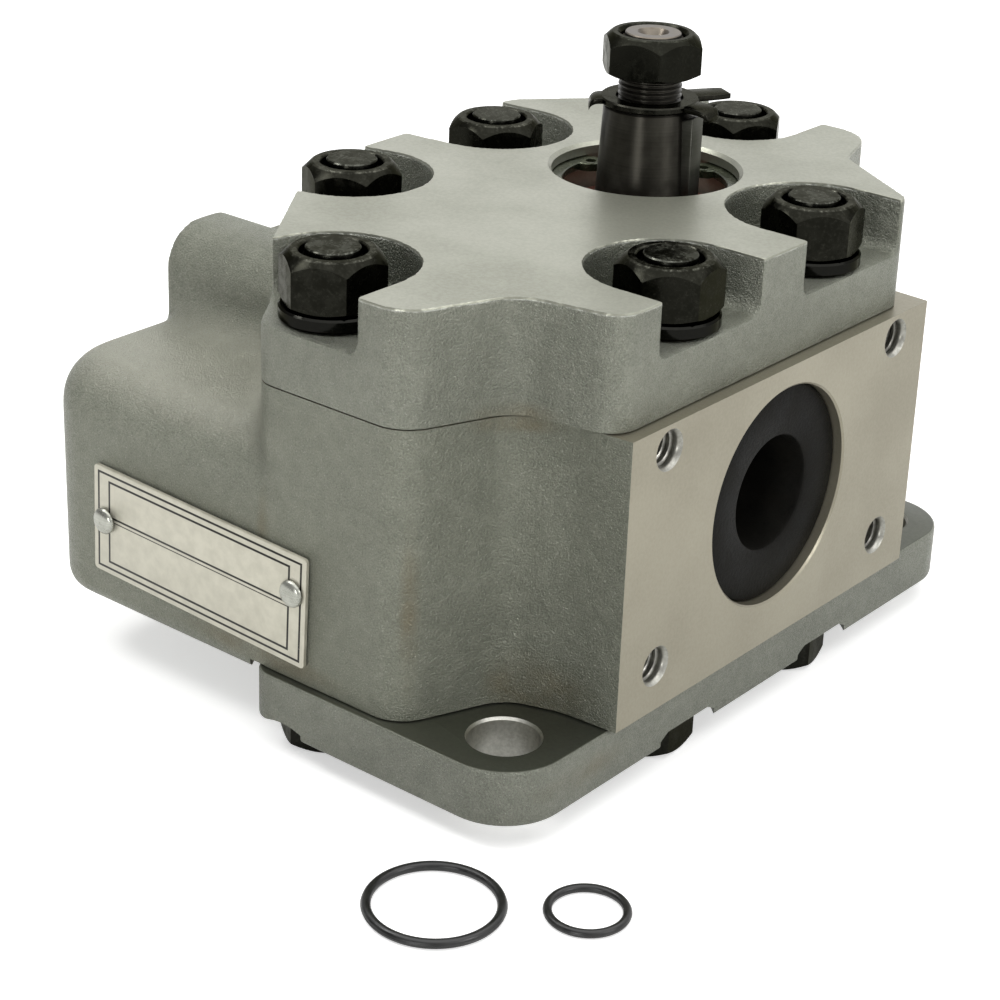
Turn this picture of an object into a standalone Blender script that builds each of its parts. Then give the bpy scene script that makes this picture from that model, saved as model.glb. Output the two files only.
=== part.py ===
"""Hydraulic gear pump with a cast three-piece casing, six through bolts and a keyed taper shaft.

Metres, +Z along the drive shaft, +X out of the inlet port. The origin lies on the flat mounting
face, midway between the two gear axes. The pump stands on its six bolt heads.
"""
import math

import bmesh
import bpy
from mathutils import Matrix, Vector

for old in list(bpy.data.objects):
    bpy.data.objects.remove(old)

MM = 0.001

# Running and assembly clearances
FACE_GAP = 0.3 * MM
BOLT_CLEARANCE = 0.3 * MM
TIP_CLEARANCE = 0.3 * MM
JOURNAL_CLEARANCE = 0.3 * MM
BACKLASH = 0.25 * MM
COVER_SPACE = 1.5 * MM

# Casing stack, from the mounting face up
REAR_THICKNESS = 12.0 * MM
BODY_HEIGHT = 61.7 * MM
COVER_THICKNESS = 23.7 * MM

# Casing outline, seen along the shaft
COVER_FRONT = 52.5 * MM
CASING_BACK = 52.0 * MM
CASING_END = 80.0 * MM
LOBE_FRONT = 22.0 * MM
LOBE_BACK = 14.5 * MM
WAIST_X = 31.0 * MM
WAIST_Y = 57.6 * MM
FRONT_CORNER_Y = 53.5 * MM
BACK_CORNER_Y = 26.0 * MM
FRONT_CORNER_RADIUS = 6.0 * MM
WAIST_RADIUS = 9.0 * MM
LOBE_FRONT_RADIUS = 8.0 * MM
LOBE_BACK_RADIUS = 6.0 * MM
BACK_CORNER_RADIUS = 14.0 * MM

# Mounting ears of the rear cover
EAR_X = 39.9 * MM
EAR_RADIUS = 13.8 * MM
MOUNT_HOLE_RADIUS = 7.15 * MM
MOUNT_HOLE_CHAMFER = 0.4 * MM
REAR_MARGIN = 2.0 * MM

# Gears
GEAR_CENTRES = 47.4 * MM
TEETH = 12
PRESSURE_ANGLE = math.radians(25.0)
GEAR_WIDTH = 28.0 * MM
TOOTH_HEIGHT_FACTOR = 1.0
TOOTH_DEPTH_FACTOR = 1.2

# Shafts and bearings
JOURNAL_RADIUS = 11.1 * MM
LINER_WALL = 1.6 * MM
BEARING_FLAT_GAP = 0.3 * MM
SHAFT_END_GAP = 0.8 * MM
TAPER_LARGE_RADIUS = 10.8 * MM
TAPER_SMALL_RADIUS = 9.7 * MM
TAPER_START_DEPTH = 9.5 * MM
TAPER_LENGTH = 23.5 * MM
SHAFT_THREAD_RADIUS = 6.8 * MM
SHAFT_THREAD_LENGTH = 15.7 * MM
SHAFT_CHAMFER = 0.8 * MM
CENTRE_DRILL_RADIUS = 3.3 * MM
CENTRE_DRILL_DEPTH = 4.8 * MM

# Woodruff key
KEY_WIDTH = 4.8 * MM
KEY_DISC_RADIUS = 10.6 * MM
KEY_TOP_RADIUS = 12.2 * MM
KEY_FLAT_DROP = 2.0 * MM
KEY_RISE = 12.5 * MM
KEY_TURN = 6.5

# Tab washer and shaft nut
WASHER_RADIUS = 10.6 * MM
WASHER_THICKNESS = 1.5 * MM
WASHER_BORE_RADIUS = 7.2 * MM
WASHER_TABS = (
    ("key_tab", KEY_TURN, 6.5 * MM, 14.4 * MM, 3.5 * MM),
    ("long_tab", 61.0, 5.5 * MM, 18.2 * MM, 0.0),
    ("short_tab", 220.0, 6.0 * MM, 12.8 * MM, 2.2 * MM),
)
SHAFT_NUT_HEIGHT = 8.8 * MM
SHAFT_NUT_TURN = 14.7

# Shaft seal and its circlip
SEAL_BORE_RADIUS = 20.3 * MM
SEAL_HEIGHT = 8.0 * MM
SEAL_WALL = 1.8 * MM
SEAL_TOP_DEPTH = 10.0 * MM
SEAL_BORE_CHAMFER = 0.8 * MM
CIRCLIP_DEPTH = 3.0 * MM
CIRCLIP_THICKNESS = 1.8 * MM
CIRCLIP_GROOVE = 1.2 * MM
CIRCLIP_WIDTH = 3.4 * MM
CIRCLIP_LUG_DEPTH = 2.4 * MM
CIRCLIP_LUG_HOLE_RADIUS = 1.2 * MM
CIRCLIP_OPEN_DIRECTION = 124.0
CIRCLIP_LUG_ANGLE = 46.0

# Casing bolts
FRONT_BOLT_X = 42.0 * MM
FRONT_BOLT_Y = 25.2 * MM
BACK_BOLT_X = 42.0 * MM
BACK_BOLT_Y = 24.0 * MM
END_BOLT_X = 6.4 * MM
END_BOLT_INSET = 12.1 * MM
BOLT_RADIUS = 6.35 * MM
HEX_ACROSS_FLATS = 19.0 * MM
BOLT_HEAD_HEIGHT = 8.0 * MM
BOLT_HEAD_RECESS = 3.0 * MM
BOLT_RECESS_RADIUS = 15.0 * MM
NUT_HEIGHT = 10.6 * MM
NUT_RECESS_RADIUS = 17.2 * MM
NUT_RECESS_DEPTH = 11.6 * MM
NUT_RECESS_FILLET = 2.5 * MM
SPRING_WASHER_RADIUS = 10.6 * MM
SPRING_WASHER_THICKNESS = 2.8 * MM
BOLT_PROUD = 3.0 * MM

# Inlet port
PORT_FACE_X = 55.5 * MM
PORT_HALF_WIDTH = 52.8 * MM
PORT_SHOULDER_X = 42.5 * MM
PORT_SHOULDER_Y = 53.8 * MM
PORT_SHOULDER_RADIUS = 12.0 * MM
PORT_RISE = 2.35 * MM
INLET_MOUTH_RADIUS = 23.7 * MM
INLET_MOUTH_DEPTH = 6.0 * MM
INLET_PASSAGE_RADIUS = 14.5 * MM
INLET_HOLE_Y = 40.9 * MM
INLET_HOLE_Z = 23.2 * MM
PORT_HOLE_RADIUS = 4.0 * MM
PORT_HOLE_DEPTH = 18.0 * MM
PORT_HOLE_CHAMFER = 0.9 * MM

# Outlet housing and port
OUTLET_FACE_X = -67.0 * MM
OUTLET_MOUTH_RADIUS = 17.0 * MM
OUTLET_MOUTH_DEPTH = 6.0 * MM
OUTLET_PASSAGE_RADIUS = 12.5 * MM
OUTLET_HOLE_Y = 11.1 * MM
OUTLET_HOLE_Z = 23.8 * MM
HOUSING_RISE = 5.2 * MM
HOUSING_FAR_Y = 30.0 * MM
HOUSING_FILLET = 9.0 * MM
GALLERY_RISE = 6.0 * MM
GALLERY_END_X = -79.5 * MM
GALLERY_NEAR_Y = -39.0 * MM
GALLERY_FAR_Y = -24.0 * MM
GALLERY_FAR_FILLET = 3.0 * MM
CHAMBER_DROP = 15.5 * MM
CHAMBER_BOTTOM = 10.5 * MM
CHAMBER_CORNER = 15.0 * MM
CHAMBER_LAP = 10.0 * MM
CAST_FILLET = 8.0 * MM
CAST_COVE = 8.0 * MM

# Port plugs
PLUG_RECESS = 2.2 * MM
PLUG_WALL = 2.0 * MM
PLUG_DEPTH = 20.0 * MM
PLUG_FLOOR = 2.0 * MM

# Name plate and rivets
PLATE_LEFT_X = -62.0 * MM
PLATE_TURN = 2.0
PLATE_WIDTH = 61.0 * MM
PLATE_HEIGHT = 24.4 * MM
PLATE_RISE = 20.0 * MM
PLATE_THICKNESS = 0.8 * MM
RIVET_HEAD_RADIUS = 2.9 * MM
RIVET_SHANK_RADIUS = 1.3 * MM
RIVET_SHANK_LENGTH = 5.0 * MM
RIVET_INSET = 3.4 * MM

# Joint seals and dowels
GROOVE_WALL = 2.2 * MM
GROOVE_WIDTH = 2.8 * MM
GROOVE_DEPTH = 2.2 * MM
DOWEL_X = 14.5 * MM
DOWEL_INSET = 14.0 * MM
DOWEL_RADIUS = 4.0 * MM
DOWEL_LENGTH = 16.0 * MM

# Loose port seals that lie beside the pump
LARGE_RING_RADIUS = 12.6 * MM
LARGE_RING_CORD = 0.95 * MM
LARGE_RING_PLACE = (51.6 * MM, -101.9 * MM)
SMALL_RING_RADIUS = 7.4 * MM
SMALL_RING_CORD = 0.85 * MM
SMALL_RING_PLACE = (73.8 * MM, -84.4 * MM)

# Smoothness of round shapes
ARC_STEP = math.radians(18.0)
BORE_SIDES = 32
ROUND_SIDES = 28
SMALL_SIDES = 16
TINY_SIDES = 12
OVERCUT = 1.0 * MM

# Places worked out from the sizes above
REAR_TOP = REAR_THICKNESS
BODY_BOTTOM = REAR_TOP + FACE_GAP
BODY_TOP = BODY_BOTTOM + BODY_HEIGHT
COVER_BOTTOM = BODY_TOP + FACE_GAP
COVER_TOP = COVER_BOTTOM + COVER_THICKNESS
PORT_Z = BODY_BOTTOM + BODY_HEIGHT / 2 + PORT_RISE
HOUSING_TOP = BODY_TOP + HOUSING_RISE
GALLERY_TOP = BODY_TOP + GALLERY_RISE
CHAMBER_TOP = BODY_TOP - CHAMBER_DROP
PLATE_Z = CHAMBER_BOTTOM + PLATE_RISE
EAR_Y = CASING_END + REAR_MARGIN - EAR_RADIUS
END_BOLT_Y = CASING_END - END_BOLT_INSET
DOWEL_Y = CASING_END - DOWEL_INSET
SHAFT_Y = GEAR_CENTRES / 2
GEAR_MODULE = GEAR_CENTRES / TEETH
TIP_RADIUS = GEAR_CENTRES / 2 + TOOTH_HEIGHT_FACTOR * GEAR_MODULE
ROOT_RADIUS = GEAR_CENTRES / 2 - TOOTH_DEPTH_FACTOR * GEAR_MODULE
GEAR_BORE_RADIUS = TIP_RADIUS + TIP_CLEARANCE
BEARING_HEIGHT = (COVER_BOTTOM - REAR_TOP - GEAR_WIDTH - 4 * FACE_GAP) / 2
LOWER_BEARING_Z = REAR_TOP + FACE_GAP
GEAR_Z = LOWER_BEARING_Z + BEARING_HEIGHT + FACE_GAP
UPPER_BEARING_Z = GEAR_Z + GEAR_WIDTH + FACE_GAP
LINER_BORE_RADIUS = JOURNAL_RADIUS + JOURNAL_CLEARANCE
LINER_RADIUS = LINER_BORE_RADIUS + LINER_WALL
SHAFT_BOTTOM = REAR_TOP + SHAFT_END_GAP
TAPER_START_Z = COVER_TOP - TAPER_START_DEPTH
TAPER_TOP_Z = TAPER_START_Z + TAPER_LENGTH
KEY_Z = TAPER_START_Z + KEY_RISE
SHAFT_TOP = TAPER_TOP_Z + SHAFT_THREAD_LENGTH
WASHER_Z = TAPER_TOP_Z + FACE_GAP
SHAFT_NUT_Z = SHAFT_TOP - SHAFT_NUT_HEIGHT
SEAL_Z = COVER_TOP - SEAL_TOP_DEPTH - SEAL_HEIGHT
CIRCLIP_Z = COVER_TOP - CIRCLIP_DEPTH - CIRCLIP_THICKNESS
NUT_SEAT_Z = COVER_TOP - NUT_RECESS_DEPTH
SPRING_WASHER_Z = NUT_SEAT_Z + FACE_GAP
NUT_Z = SPRING_WASHER_Z + SPRING_WASHER_THICKNESS + FACE_GAP
BOLT_TOP = COVER_TOP + BOLT_PROUD
BOLT_HEAD_TOP = BOLT_HEAD_RECESS - FACE_GAP
FLOOR_Z = BOLT_HEAD_TOP - BOLT_HEAD_HEIGHT
BOLT_HOLE_RADIUS = BOLT_RADIUS + BOLT_CLEARANCE
GROOVE_RADIUS = GEAR_BORE_RADIUS + GROOVE_WALL + GROOVE_WIDTH / 2
SEAL_CORD_RADIUS = (GROOVE_DEPTH - FACE_GAP) / 2
BOLT_PLACES = {
    "front_left": (FRONT_BOLT_X, -FRONT_BOLT_Y, 36.7),
    "front_right": (FRONT_BOLT_X, FRONT_BOLT_Y, 44.7),
    "end_right": (-END_BOLT_X, END_BOLT_Y, 0.0),
    "back_right": (-BACK_BOLT_X, BACK_BOLT_Y, 53.7),
    "back_left": (-BACK_BOLT_X, -BACK_BOLT_Y, 28.7),
    "end_left": (-END_BOLT_X, -END_BOLT_Y, 26.7),
}

FINISHES = {
    "cast_aluminium": ((0.30, 0.30, 0.27), 0.55, 0.85),
    "machined_aluminium": ((0.48, 0.48, 0.43), 0.35, 0.95),
    "black_oxide_steel": ((0.02, 0.02, 0.018), 0.38, 0.70),
    "bright_steel": ((0.42, 0.41, 0.38), 0.25, 1.0),
    "dark_steel": ((0.16, 0.155, 0.145), 0.30, 1.0),
    "spring_steel": ((0.10, 0.12, 0.09), 0.45, 0.8),
    "plate_aluminium": ((0.66, 0.65, 0.58), 0.40, 0.6),
    "bearing_alloy": ((0.55, 0.54, 0.50), 0.35, 0.9),
    "liner_bronze": ((0.45, 0.30, 0.14), 0.35, 0.9),
    "black_plastic": ((0.03, 0.03, 0.027), 0.45, 0.0),
    "black_rubber": ((0.015, 0.015, 0.015), 0.55, 0.0),
    "seal_rubber": ((0.16, 0.04, 0.025), 0.55, 0.0),
}


# Shape tools


def finish(obj, name):
    """Gives an object its material."""
    material = bpy.data.materials.get(name) or bpy.data.materials.new(name)
    colour, roughness, metallic = FINISHES[name]
    material.use_nodes = True
    shader = material.node_tree.nodes["Principled BSDF"]
    shader.inputs["Base Color"].default_value = (*colour, 1.0)
    shader.inputs["Roughness"].default_value = roughness
    shader.inputs["Metallic"].default_value = metallic
    obj.data.materials.clear()
    obj.data.materials.append(material)
    obj.data.shade_smooth()
    obj.data.set_sharp_from_angle(angle=math.radians(35.0))
    return obj


def make_object(name, bm):
    """Turns a bmesh into a linked object, with its faces pointing out."""
    bmesh.ops.remove_doubles(bm, verts=bm.verts, dist=1e-7)
    bmesh.ops.recalc_face_normals(bm, faces=bm.faces)
    mesh = bpy.data.meshes.new(name)
    bm.to_mesh(mesh)
    bm.free()
    obj = bpy.data.objects.new(name, mesh)
    bpy.context.scene.collection.objects.link(obj)
    return obj


def rounded_outline(corners):
    """Returns the points of a closed outline whose corners (x, y, radius) are rounded by arcs."""
    points = []
    count = len(corners)
    for i, (x, y, radius) in enumerate(corners):
        here = Vector((x, y))
        to_last = Vector(corners[i - 1][:2]) - here
        to_next = Vector(corners[(i + 1) % count][:2]) - here
        half = to_last.angle(to_next) / 2
        reach = min(radius / math.tan(half), 0.49 * to_last.length, 0.49 * to_next.length)
        if reach < 1e-6:
            points.append((x, y))
            continue
        to_last.normalize()
        to_next.normalize()
        start = here + to_last * reach
        end = here + to_next * reach
        centre = here + (to_last + to_next).normalized() * (reach / math.cos(half))
        turn = math.pi - 2 * half
        steps = max(2, math.ceil(turn / ARC_STEP))
        first = start - centre
        sign = 1 if first.x * (end - centre).y - first.y * (end - centre).x > 0 else -1
        for k in range(steps + 1):
            spot = centre + Matrix.Rotation(sign * turn * k / steps, 2) @ first
            points.append((spot.x, spot.y))
    return points


def mirrored_outline(half):
    """Completes an outline given by its +Y corners, front to back, with their mirror images."""
    return rounded_outline(half + [(x, -y, r) for x, y, r in reversed(half)])


def circle(radius, sides, centre=(0.0, 0.0)):
    """Returns the points of a circle."""
    turns = [2 * math.pi * k / sides for k in range(sides)]
    return [(centre[0] + radius * math.cos(t), centre[1] + radius * math.sin(t)) for t in turns]


def prism(name, outline, bottom, top):
    """Extrudes a closed outline along Z."""
    bm = bmesh.new()
    face = bm.faces.new([bm.verts.new((x, y, bottom)) for x, y in outline])
    raised = bmesh.ops.extrude_face_region(bm, geom=[face])["geom"]
    moved = [v for v in raised if isinstance(v, bmesh.types.BMVert)]
    bmesh.ops.translate(bm, verts=moved, vec=(0, 0, top - bottom))
    return make_object(name, bm)


def loft(name, loops):
    """Joins rings with equal numbers of points into a solid with flat ends."""
    bm = bmesh.new()
    rings = [[bm.verts.new(p) for p in loop] for loop in loops]
    count = len(rings[0])
    for low, high in zip(rings, rings[1:]):
        for k in range(count):
            n = (k + 1) % count
            bm.faces.new((low[k], low[n], high[n], high[k]))
    bm.faces.new(list(reversed(rings[0])))
    bm.faces.new(rings[-1])
    return make_object(name, bm)


def turned(name, profile, sides, closed=False):
    """Turns a profile of (radius, height) points about Z. An open profile starts and ends on the axis."""
    bm = bmesh.new()
    verts = [bm.verts.new((r, 0, z)) for r, z in profile]
    edges = [bm.edges.new(pair) for pair in zip(verts, verts[1:])]
    if closed:
        edges.append(bm.edges.new((verts[-1], verts[0])))
    bmesh.ops.spin(
        bm, geom=verts + edges, cent=(0, 0, 0), axis=(0, 0, 1), angle=2 * math.pi, steps=sides, use_merge=False
    )
    bmesh.ops.remove_doubles(bm, verts=bm.verts, dist=1e-6)
    return make_object(name, bm)


def rod(name, radius, bottom, top, sides=ROUND_SIDES, chamfer=0.0):
    """A round bar along Z, chamfered at its top end."""
    profile = [(0, bottom), (radius, bottom), (radius, top - chamfer), (radius - chamfer, top), (0, top)]
    if not chamfer:
        profile.pop(3)
    return turned(name, profile, sides)


def swept_ring(name, path, radius, sides, z):
    """Sweeps a round cord along a closed flat path."""
    bm = bmesh.new()
    rings = []
    count = len(path)
    for k, (x, y) in enumerate(path):
        ahead = Vector(path[(k + 1) % count]) - Vector(path[k - 1])
        out = Vector((ahead.y, -ahead.x)).normalized()
        ring = []
        for s in range(sides):
            t = 2 * math.pi * s / sides
            side = radius * math.cos(t)
            ring.append(bm.verts.new((x + out.x * side, y + out.y * side, z + radius * math.sin(t))))
        rings.append(ring)
    for k in range(count):
        low, high = rings[k], rings[(k + 1) % count]
        for s in range(sides):
            n = (s + 1) % sides
            bm.faces.new((low[s], low[n], high[n], high[s]))
    return make_object(name, bm)


def place(obj, location=(0, 0, 0), turn=0.0, lay=None):
    """Moves an object to its place, turned about Z, or laid with its +Z end along X."""
    obj.location = location
    if lay == "X":
        obj.rotation_euler = (0, math.pi / 2, 0)
    elif lay == "-X":
        obj.rotation_euler = (0, -math.pi / 2, 0)
    elif lay == "-Y":
        obj.rotation_euler = (math.pi / 2, 0, 0)
    else:
        obj.rotation_euler = (0, 0, math.radians(turn))
    return obj


def combine(target, tool, operation):
    """Joins, cuts or intersects two solids with an exact Boolean and hides the tool."""
    tool.hide_render = True
    tool.display_type = "WIRE"
    step = target.modifiers.new(tool.name, "BOOLEAN")
    step.operation = operation
    step.solver = "EXACT"
    step.object = tool
    return target


def cut(target, tool):
    return combine(target, tool, "DIFFERENCE")


def add(target, tool):
    return combine(target, tool, "UNION")


def settled_mesh(obj):
    """Returns an object's shape with its modifiers worked in, for copies to share."""
    graph = bpy.context.evaluated_depsgraph_get()
    graph.update()
    mesh = bpy.data.meshes.new_from_object(obj.evaluated_get(graph))
    for step in list(obj.modifiers):
        bpy.data.objects.remove(step.object)
    bpy.data.objects.remove(obj)
    return mesh


def copies(mesh, name, places, finish_name):
    """Places one copy of a shared mesh at each (x, y, z, turn)."""
    for label, (x, y, z, turn) in places.items():
        obj = bpy.data.objects.new(f"{name}_{label}", mesh)
        bpy.context.scene.collection.objects.link(obj)
        place(obj, (x, y, z), turn)
        finish(obj, finish_name)


# Casing outlines


def casing_outline(margin=0.0):
    """The drive cover's outline: a lobe at each end, a waist in front and a slanted back."""
    return mirrored_outline([
        (COVER_FRONT + margin, FRONT_CORNER_Y + margin, FRONT_CORNER_RADIUS + margin),
        (WAIST_X + margin, WAIST_Y + margin, WAIST_RADIUS - margin),
        (LOBE_FRONT + margin, CASING_END + margin, LOBE_FRONT_RADIUS + margin),
        (-LOBE_BACK - margin, CASING_END + margin, LOBE_BACK_RADIUS + margin),
        (-CASING_BACK - margin, BACK_CORNER_Y + margin, BACK_CORNER_RADIUS),
    ])


def body_outline():
    """The body's outline: as the cover's, with the square inlet block in front."""
    return mirrored_outline([
        (PORT_FACE_X, PORT_HALF_WIDTH, 0.0),
        (PORT_SHOULDER_X, PORT_SHOULDER_Y, PORT_SHOULDER_RADIUS),
        (WAIST_X, WAIST_Y, WAIST_RADIUS),
        (LOBE_FRONT, CASING_END, LOBE_FRONT_RADIUS),
        (-LOBE_BACK, CASING_END, LOBE_BACK_RADIUS),
        (-CASING_BACK, BACK_CORNER_Y, BACK_CORNER_RADIUS),
    ])


def rear_outline(margin=0.0):
    """The rear cover's outline: square ears round the mounting holes, and the casing's slanted back."""
    return mirrored_outline([
        (EAR_X + EAR_RADIUS + margin, EAR_Y + EAR_RADIUS + margin, EAR_RADIUS),
        (-LOBE_BACK + REAR_MARGIN / 2 - margin, CASING_END + REAR_MARGIN + margin, LOBE_BACK_RADIUS),
        (-CASING_BACK - REAR_MARGIN - margin, BACK_CORNER_Y + margin, BACK_CORNER_RADIUS),
    ])


def stadium(radius):
    """An oval round both gear bores."""
    points = []
    steps = SMALL_SIDES // 2
    for centre, start in ((SHAFT_Y, 0.0), (-SHAFT_Y, math.pi)):
        for k in range(steps + 1):
            t = start + math.pi * k / steps
            points.append((radius * math.cos(t), centre + radius * math.sin(t)))
    return points


# Cast body


def groove_cutter(name, bottom, top):
    """The oval groove for a joint seal."""
    ring = prism(name, stadium(GROOVE_RADIUS + GROOVE_WIDTH / 2), bottom, top)
    core = prism(name + "_core", stadium(GROOVE_RADIUS - GROOVE_WIDTH / 2), bottom - OVERCUT, top + OVERCUT)
    return cut(ring, core)


def port_cutter(name, mouth_radius, mouth_depth, passage_radius, length):
    """A stepped port bore whose mouth is at the origin and which runs down -Z."""
    profile = [
        (0, OVERCUT), (mouth_radius + OVERCUT, OVERCUT), (mouth_radius, 0),
        (mouth_radius, -mouth_depth), (passage_radius, -mouth_depth), (passage_radius, -length), (0, -length),
    ]
    return turned(name, profile, ROUND_SIDES)


def tapped_hole_cutter(name):
    """A drilled and chamfered bolt hole from the origin down -Z."""
    point = PORT_HOLE_RADIUS * 0.6
    wide = PORT_HOLE_RADIUS + PORT_HOLE_CHAMFER
    profile = [
        (0, OVERCUT), (wide + OVERCUT, OVERCUT), (PORT_HOLE_RADIUS, -PORT_HOLE_CHAMFER),
        (PORT_HOLE_RADIUS, -PORT_HOLE_DEPTH), (0, -PORT_HOLE_DEPTH - point),
    ]
    return turned(name, profile, SMALL_SIDES)


def cove(name, stations, out):
    """A concave fillet along the foot of a wall, through stations of (point, radius)."""
    sink = OVERCUT
    loops = []
    for (x, y, z), radius in stations:
        section = [(-sink, -sink), (radius, -sink)]
        for a in (90.0, 67.5, 45.0, 22.5, 0.0):
            turn = math.radians(a)
            section.append((radius * (1 - math.cos(turn)), radius * (1 - math.sin(turn))))
        section.append((-sink, radius))
        loops.append([(x + out[0] * h, y + out[1] * h, z + v) for h, v in section])
    return loft(name, loops)


def gallery_cove():
    """The cove where the gallery rises from the chamber, rolling over the chamber's rounded end."""
    stations = []
    for a in (20.0, 45.0, 70.0, 90.0):
        turn = math.radians(a)
        x = GALLERY_END_X + CAST_FILLET * (1 - math.cos(turn))
        z = CHAMBER_TOP - CAST_FILLET * (1 - math.sin(turn))
        stations.append(((x, GALLERY_NEAR_Y, z), CAST_COVE * math.sin(turn)))
    stations.append(((-WAIST_X, GALLERY_NEAR_Y, CHAMBER_TOP), CAST_COVE))
    return cove("gallery_cove", stations, (0, -1))


def lobe_cove():
    """The cove where the casing's slanted back rises from the chamber."""
    slant = (CASING_BACK - LOBE_BACK) / (CASING_END - BACK_CORNER_Y)

    def station(y, drop, radius):
        x = -LOBE_BACK - slant * (y + CASING_END)
        return (x, y, CHAMBER_TOP - drop), radius

    stations = []
    for a in (20.0, 45.0, 70.0, 90.0):
        turn = math.radians(a)
        y = -CASING_END + CAST_FILLET * (1 - math.cos(turn))
        stations.append(station(y, CAST_FILLET * (1 - math.sin(turn)), CAST_COVE * math.sin(turn)))
    stations.append(station(GALLERY_NEAR_Y + OVERCUT, 0.0, CAST_COVE))
    return cove("lobe_cove", stations, (-1, 0))


def chamber():
    """The low cast chamber behind the end lobe, with the name plate's wall."""
    loops = []
    levels = []
    for a in (90, 45, 0):
        inset = CAST_FILLET * (1 - math.cos(math.radians(a)))
        levels.append((CHAMBER_BOTTOM + CAST_FILLET * (1 - math.sin(math.radians(a))), inset))
    for a in (0, 30, 60, 90):
        inset = CAST_FILLET * (1 - math.cos(math.radians(a)))
        levels.append((CHAMBER_TOP - CAST_FILLET * (1 - math.sin(math.radians(a))), inset))
    for z, inset in levels:
        left = GALLERY_END_X + inset
        front = -CASING_END + inset
        outline = rounded_outline([
            (left, front, CHAMBER_CORNER - inset),
            (-LOBE_BACK + CHAMBER_LAP, front, 0.0),
            (-LOBE_BACK + CHAMBER_LAP, GALLERY_FAR_Y, 0.0),
            (left, GALLERY_FAR_Y, 0.0),
        ])
        loops.append([(x, y, z) for x, y in outline])
    return loft("chamber", loops)


def profile_along_x(name, corners, start, end):
    """Extrudes a (y, z) outline along X."""
    outline = rounded_outline(corners)
    return loft(name, [[(x, y, z) for y, z in outline] for x in (start, end)])


def pump_body():
    """The cast middle casing with the gear bores, both ports and the outlet housing."""
    body = prism("pump_body", body_outline(), BODY_BOTTOM, BODY_TOP)
    add(body, chamber())
    add(body, profile_along_x("gallery", [
        (GALLERY_NEAR_Y, GALLERY_TOP, HOUSING_FILLET),
        (GALLERY_FAR_Y, GALLERY_TOP, GALLERY_FAR_FILLET),
        (GALLERY_FAR_Y, BODY_BOTTOM + CAST_FILLET, 0.0),
        (GALLERY_NEAR_Y, BODY_BOTTOM + CAST_FILLET, 0.0),
    ], GALLERY_END_X, -BACK_BOLT_X))
    housing_near_y = (GALLERY_NEAR_Y + GALLERY_FAR_Y) / 2
    add(body, profile_along_x("outlet_housing", [
        (housing_near_y, HOUSING_TOP, 0.0),
        (HOUSING_FAR_Y, HOUSING_TOP, HOUSING_FILLET),
        (HOUSING_FAR_Y, BODY_BOTTOM, 0.0),
        (housing_near_y, BODY_BOTTOM, 0.0),
    ], OUTLET_FACE_X, -BACK_BOLT_X))
    add(body, gallery_cove())
    add(body, lobe_cove())
    cut(body, prism("cover_space", casing_outline(COVER_SPACE), BODY_TOP, GALLERY_TOP + OVERCUT))
    cut(body, prism("flange_space", rear_outline(COVER_SPACE), -OVERCUT, BODY_BOTTOM))
    for side, y in (("drive", SHAFT_Y), ("driven", -SHAFT_Y)):
        bore = rod(f"{side}_gear_bore", GEAR_BORE_RADIUS, BODY_BOTTOM - OVERCUT, BODY_TOP + OVERCUT,
                   BORE_SIDES)
        cut(body, place(bore, (0, y, 0)))
    inlet = port_cutter("inlet_bore", INLET_MOUTH_RADIUS, INLET_MOUTH_DEPTH, INLET_PASSAGE_RADIUS, PORT_FACE_X)
    cut(body, place(inlet, (PORT_FACE_X, 0, PORT_Z), lay="X"))
    outlet = port_cutter("outlet_bore", OUTLET_MOUTH_RADIUS, OUTLET_MOUTH_DEPTH, OUTLET_PASSAGE_RADIUS,
                         -OUTLET_FACE_X)
    cut(body, place(outlet, (OUTLET_FACE_X, 0, PORT_Z), lay="-X"))
    patterns = (
        ("inlet", PORT_FACE_X, INLET_HOLE_Y, INLET_HOLE_Z, "X"),
        ("outlet", OUTLET_FACE_X, OUTLET_HOLE_Y, OUTLET_HOLE_Z, "-X"),
    )
    for port, x, half_y, half_z, lay in patterns:
        for i, (sy, sz) in enumerate(((-1, -1), (1, -1), (1, 1), (-1, 1))):
            hole = tapped_hole_cutter(f"{port}_hole_{i + 1}")
            cut(body, place(hole, (x, sy * half_y, PORT_Z + sz * half_z), lay=lay))
    for label, (x, y, _) in BOLT_PLACES.items():
        hole = rod(f"body_bolt_hole_{label}", BOLT_HOLE_RADIUS, BODY_BOTTOM - OVERCUT, BODY_TOP + OVERCUT,
                   SMALL_SIDES)
        cut(body, place(hole, (x, y, 0)))
    cut(body, groove_cutter("lower_groove", BODY_BOTTOM - OVERCUT, BODY_BOTTOM + GROOVE_DEPTH))
    cut(body, groove_cutter("upper_groove", BODY_TOP - GROOVE_DEPTH, BODY_TOP + OVERCUT))
    for label, y in (("left", -DOWEL_Y), ("right", DOWEL_Y)):
        for level, z in (("lower", (REAR_TOP + BODY_BOTTOM) / 2), ("upper", (BODY_TOP + COVER_BOTTOM) / 2)):
            reach = DOWEL_LENGTH / 2 + FACE_GAP
            hole = rod(f"body_{level}_dowel_hole_{label}", DOWEL_RADIUS + FACE_GAP, z - reach, z + reach,
                       SMALL_SIDES)
            cut(body, place(hole, (DOWEL_X, y, 0)))
    for i, (x, z) in enumerate(rivet_places()):
        hole = rod(f"rivet_hole_{i + 1}", RIVET_SHANK_RADIUS + FACE_GAP, -RIVET_SHANK_LENGTH - FACE_GAP,
                   OVERCUT, TINY_SIDES)
        cut(body, place(hole, (x, -CASING_END, z), lay="-Y"))
    finish(body, "cast_aluminium")


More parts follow.
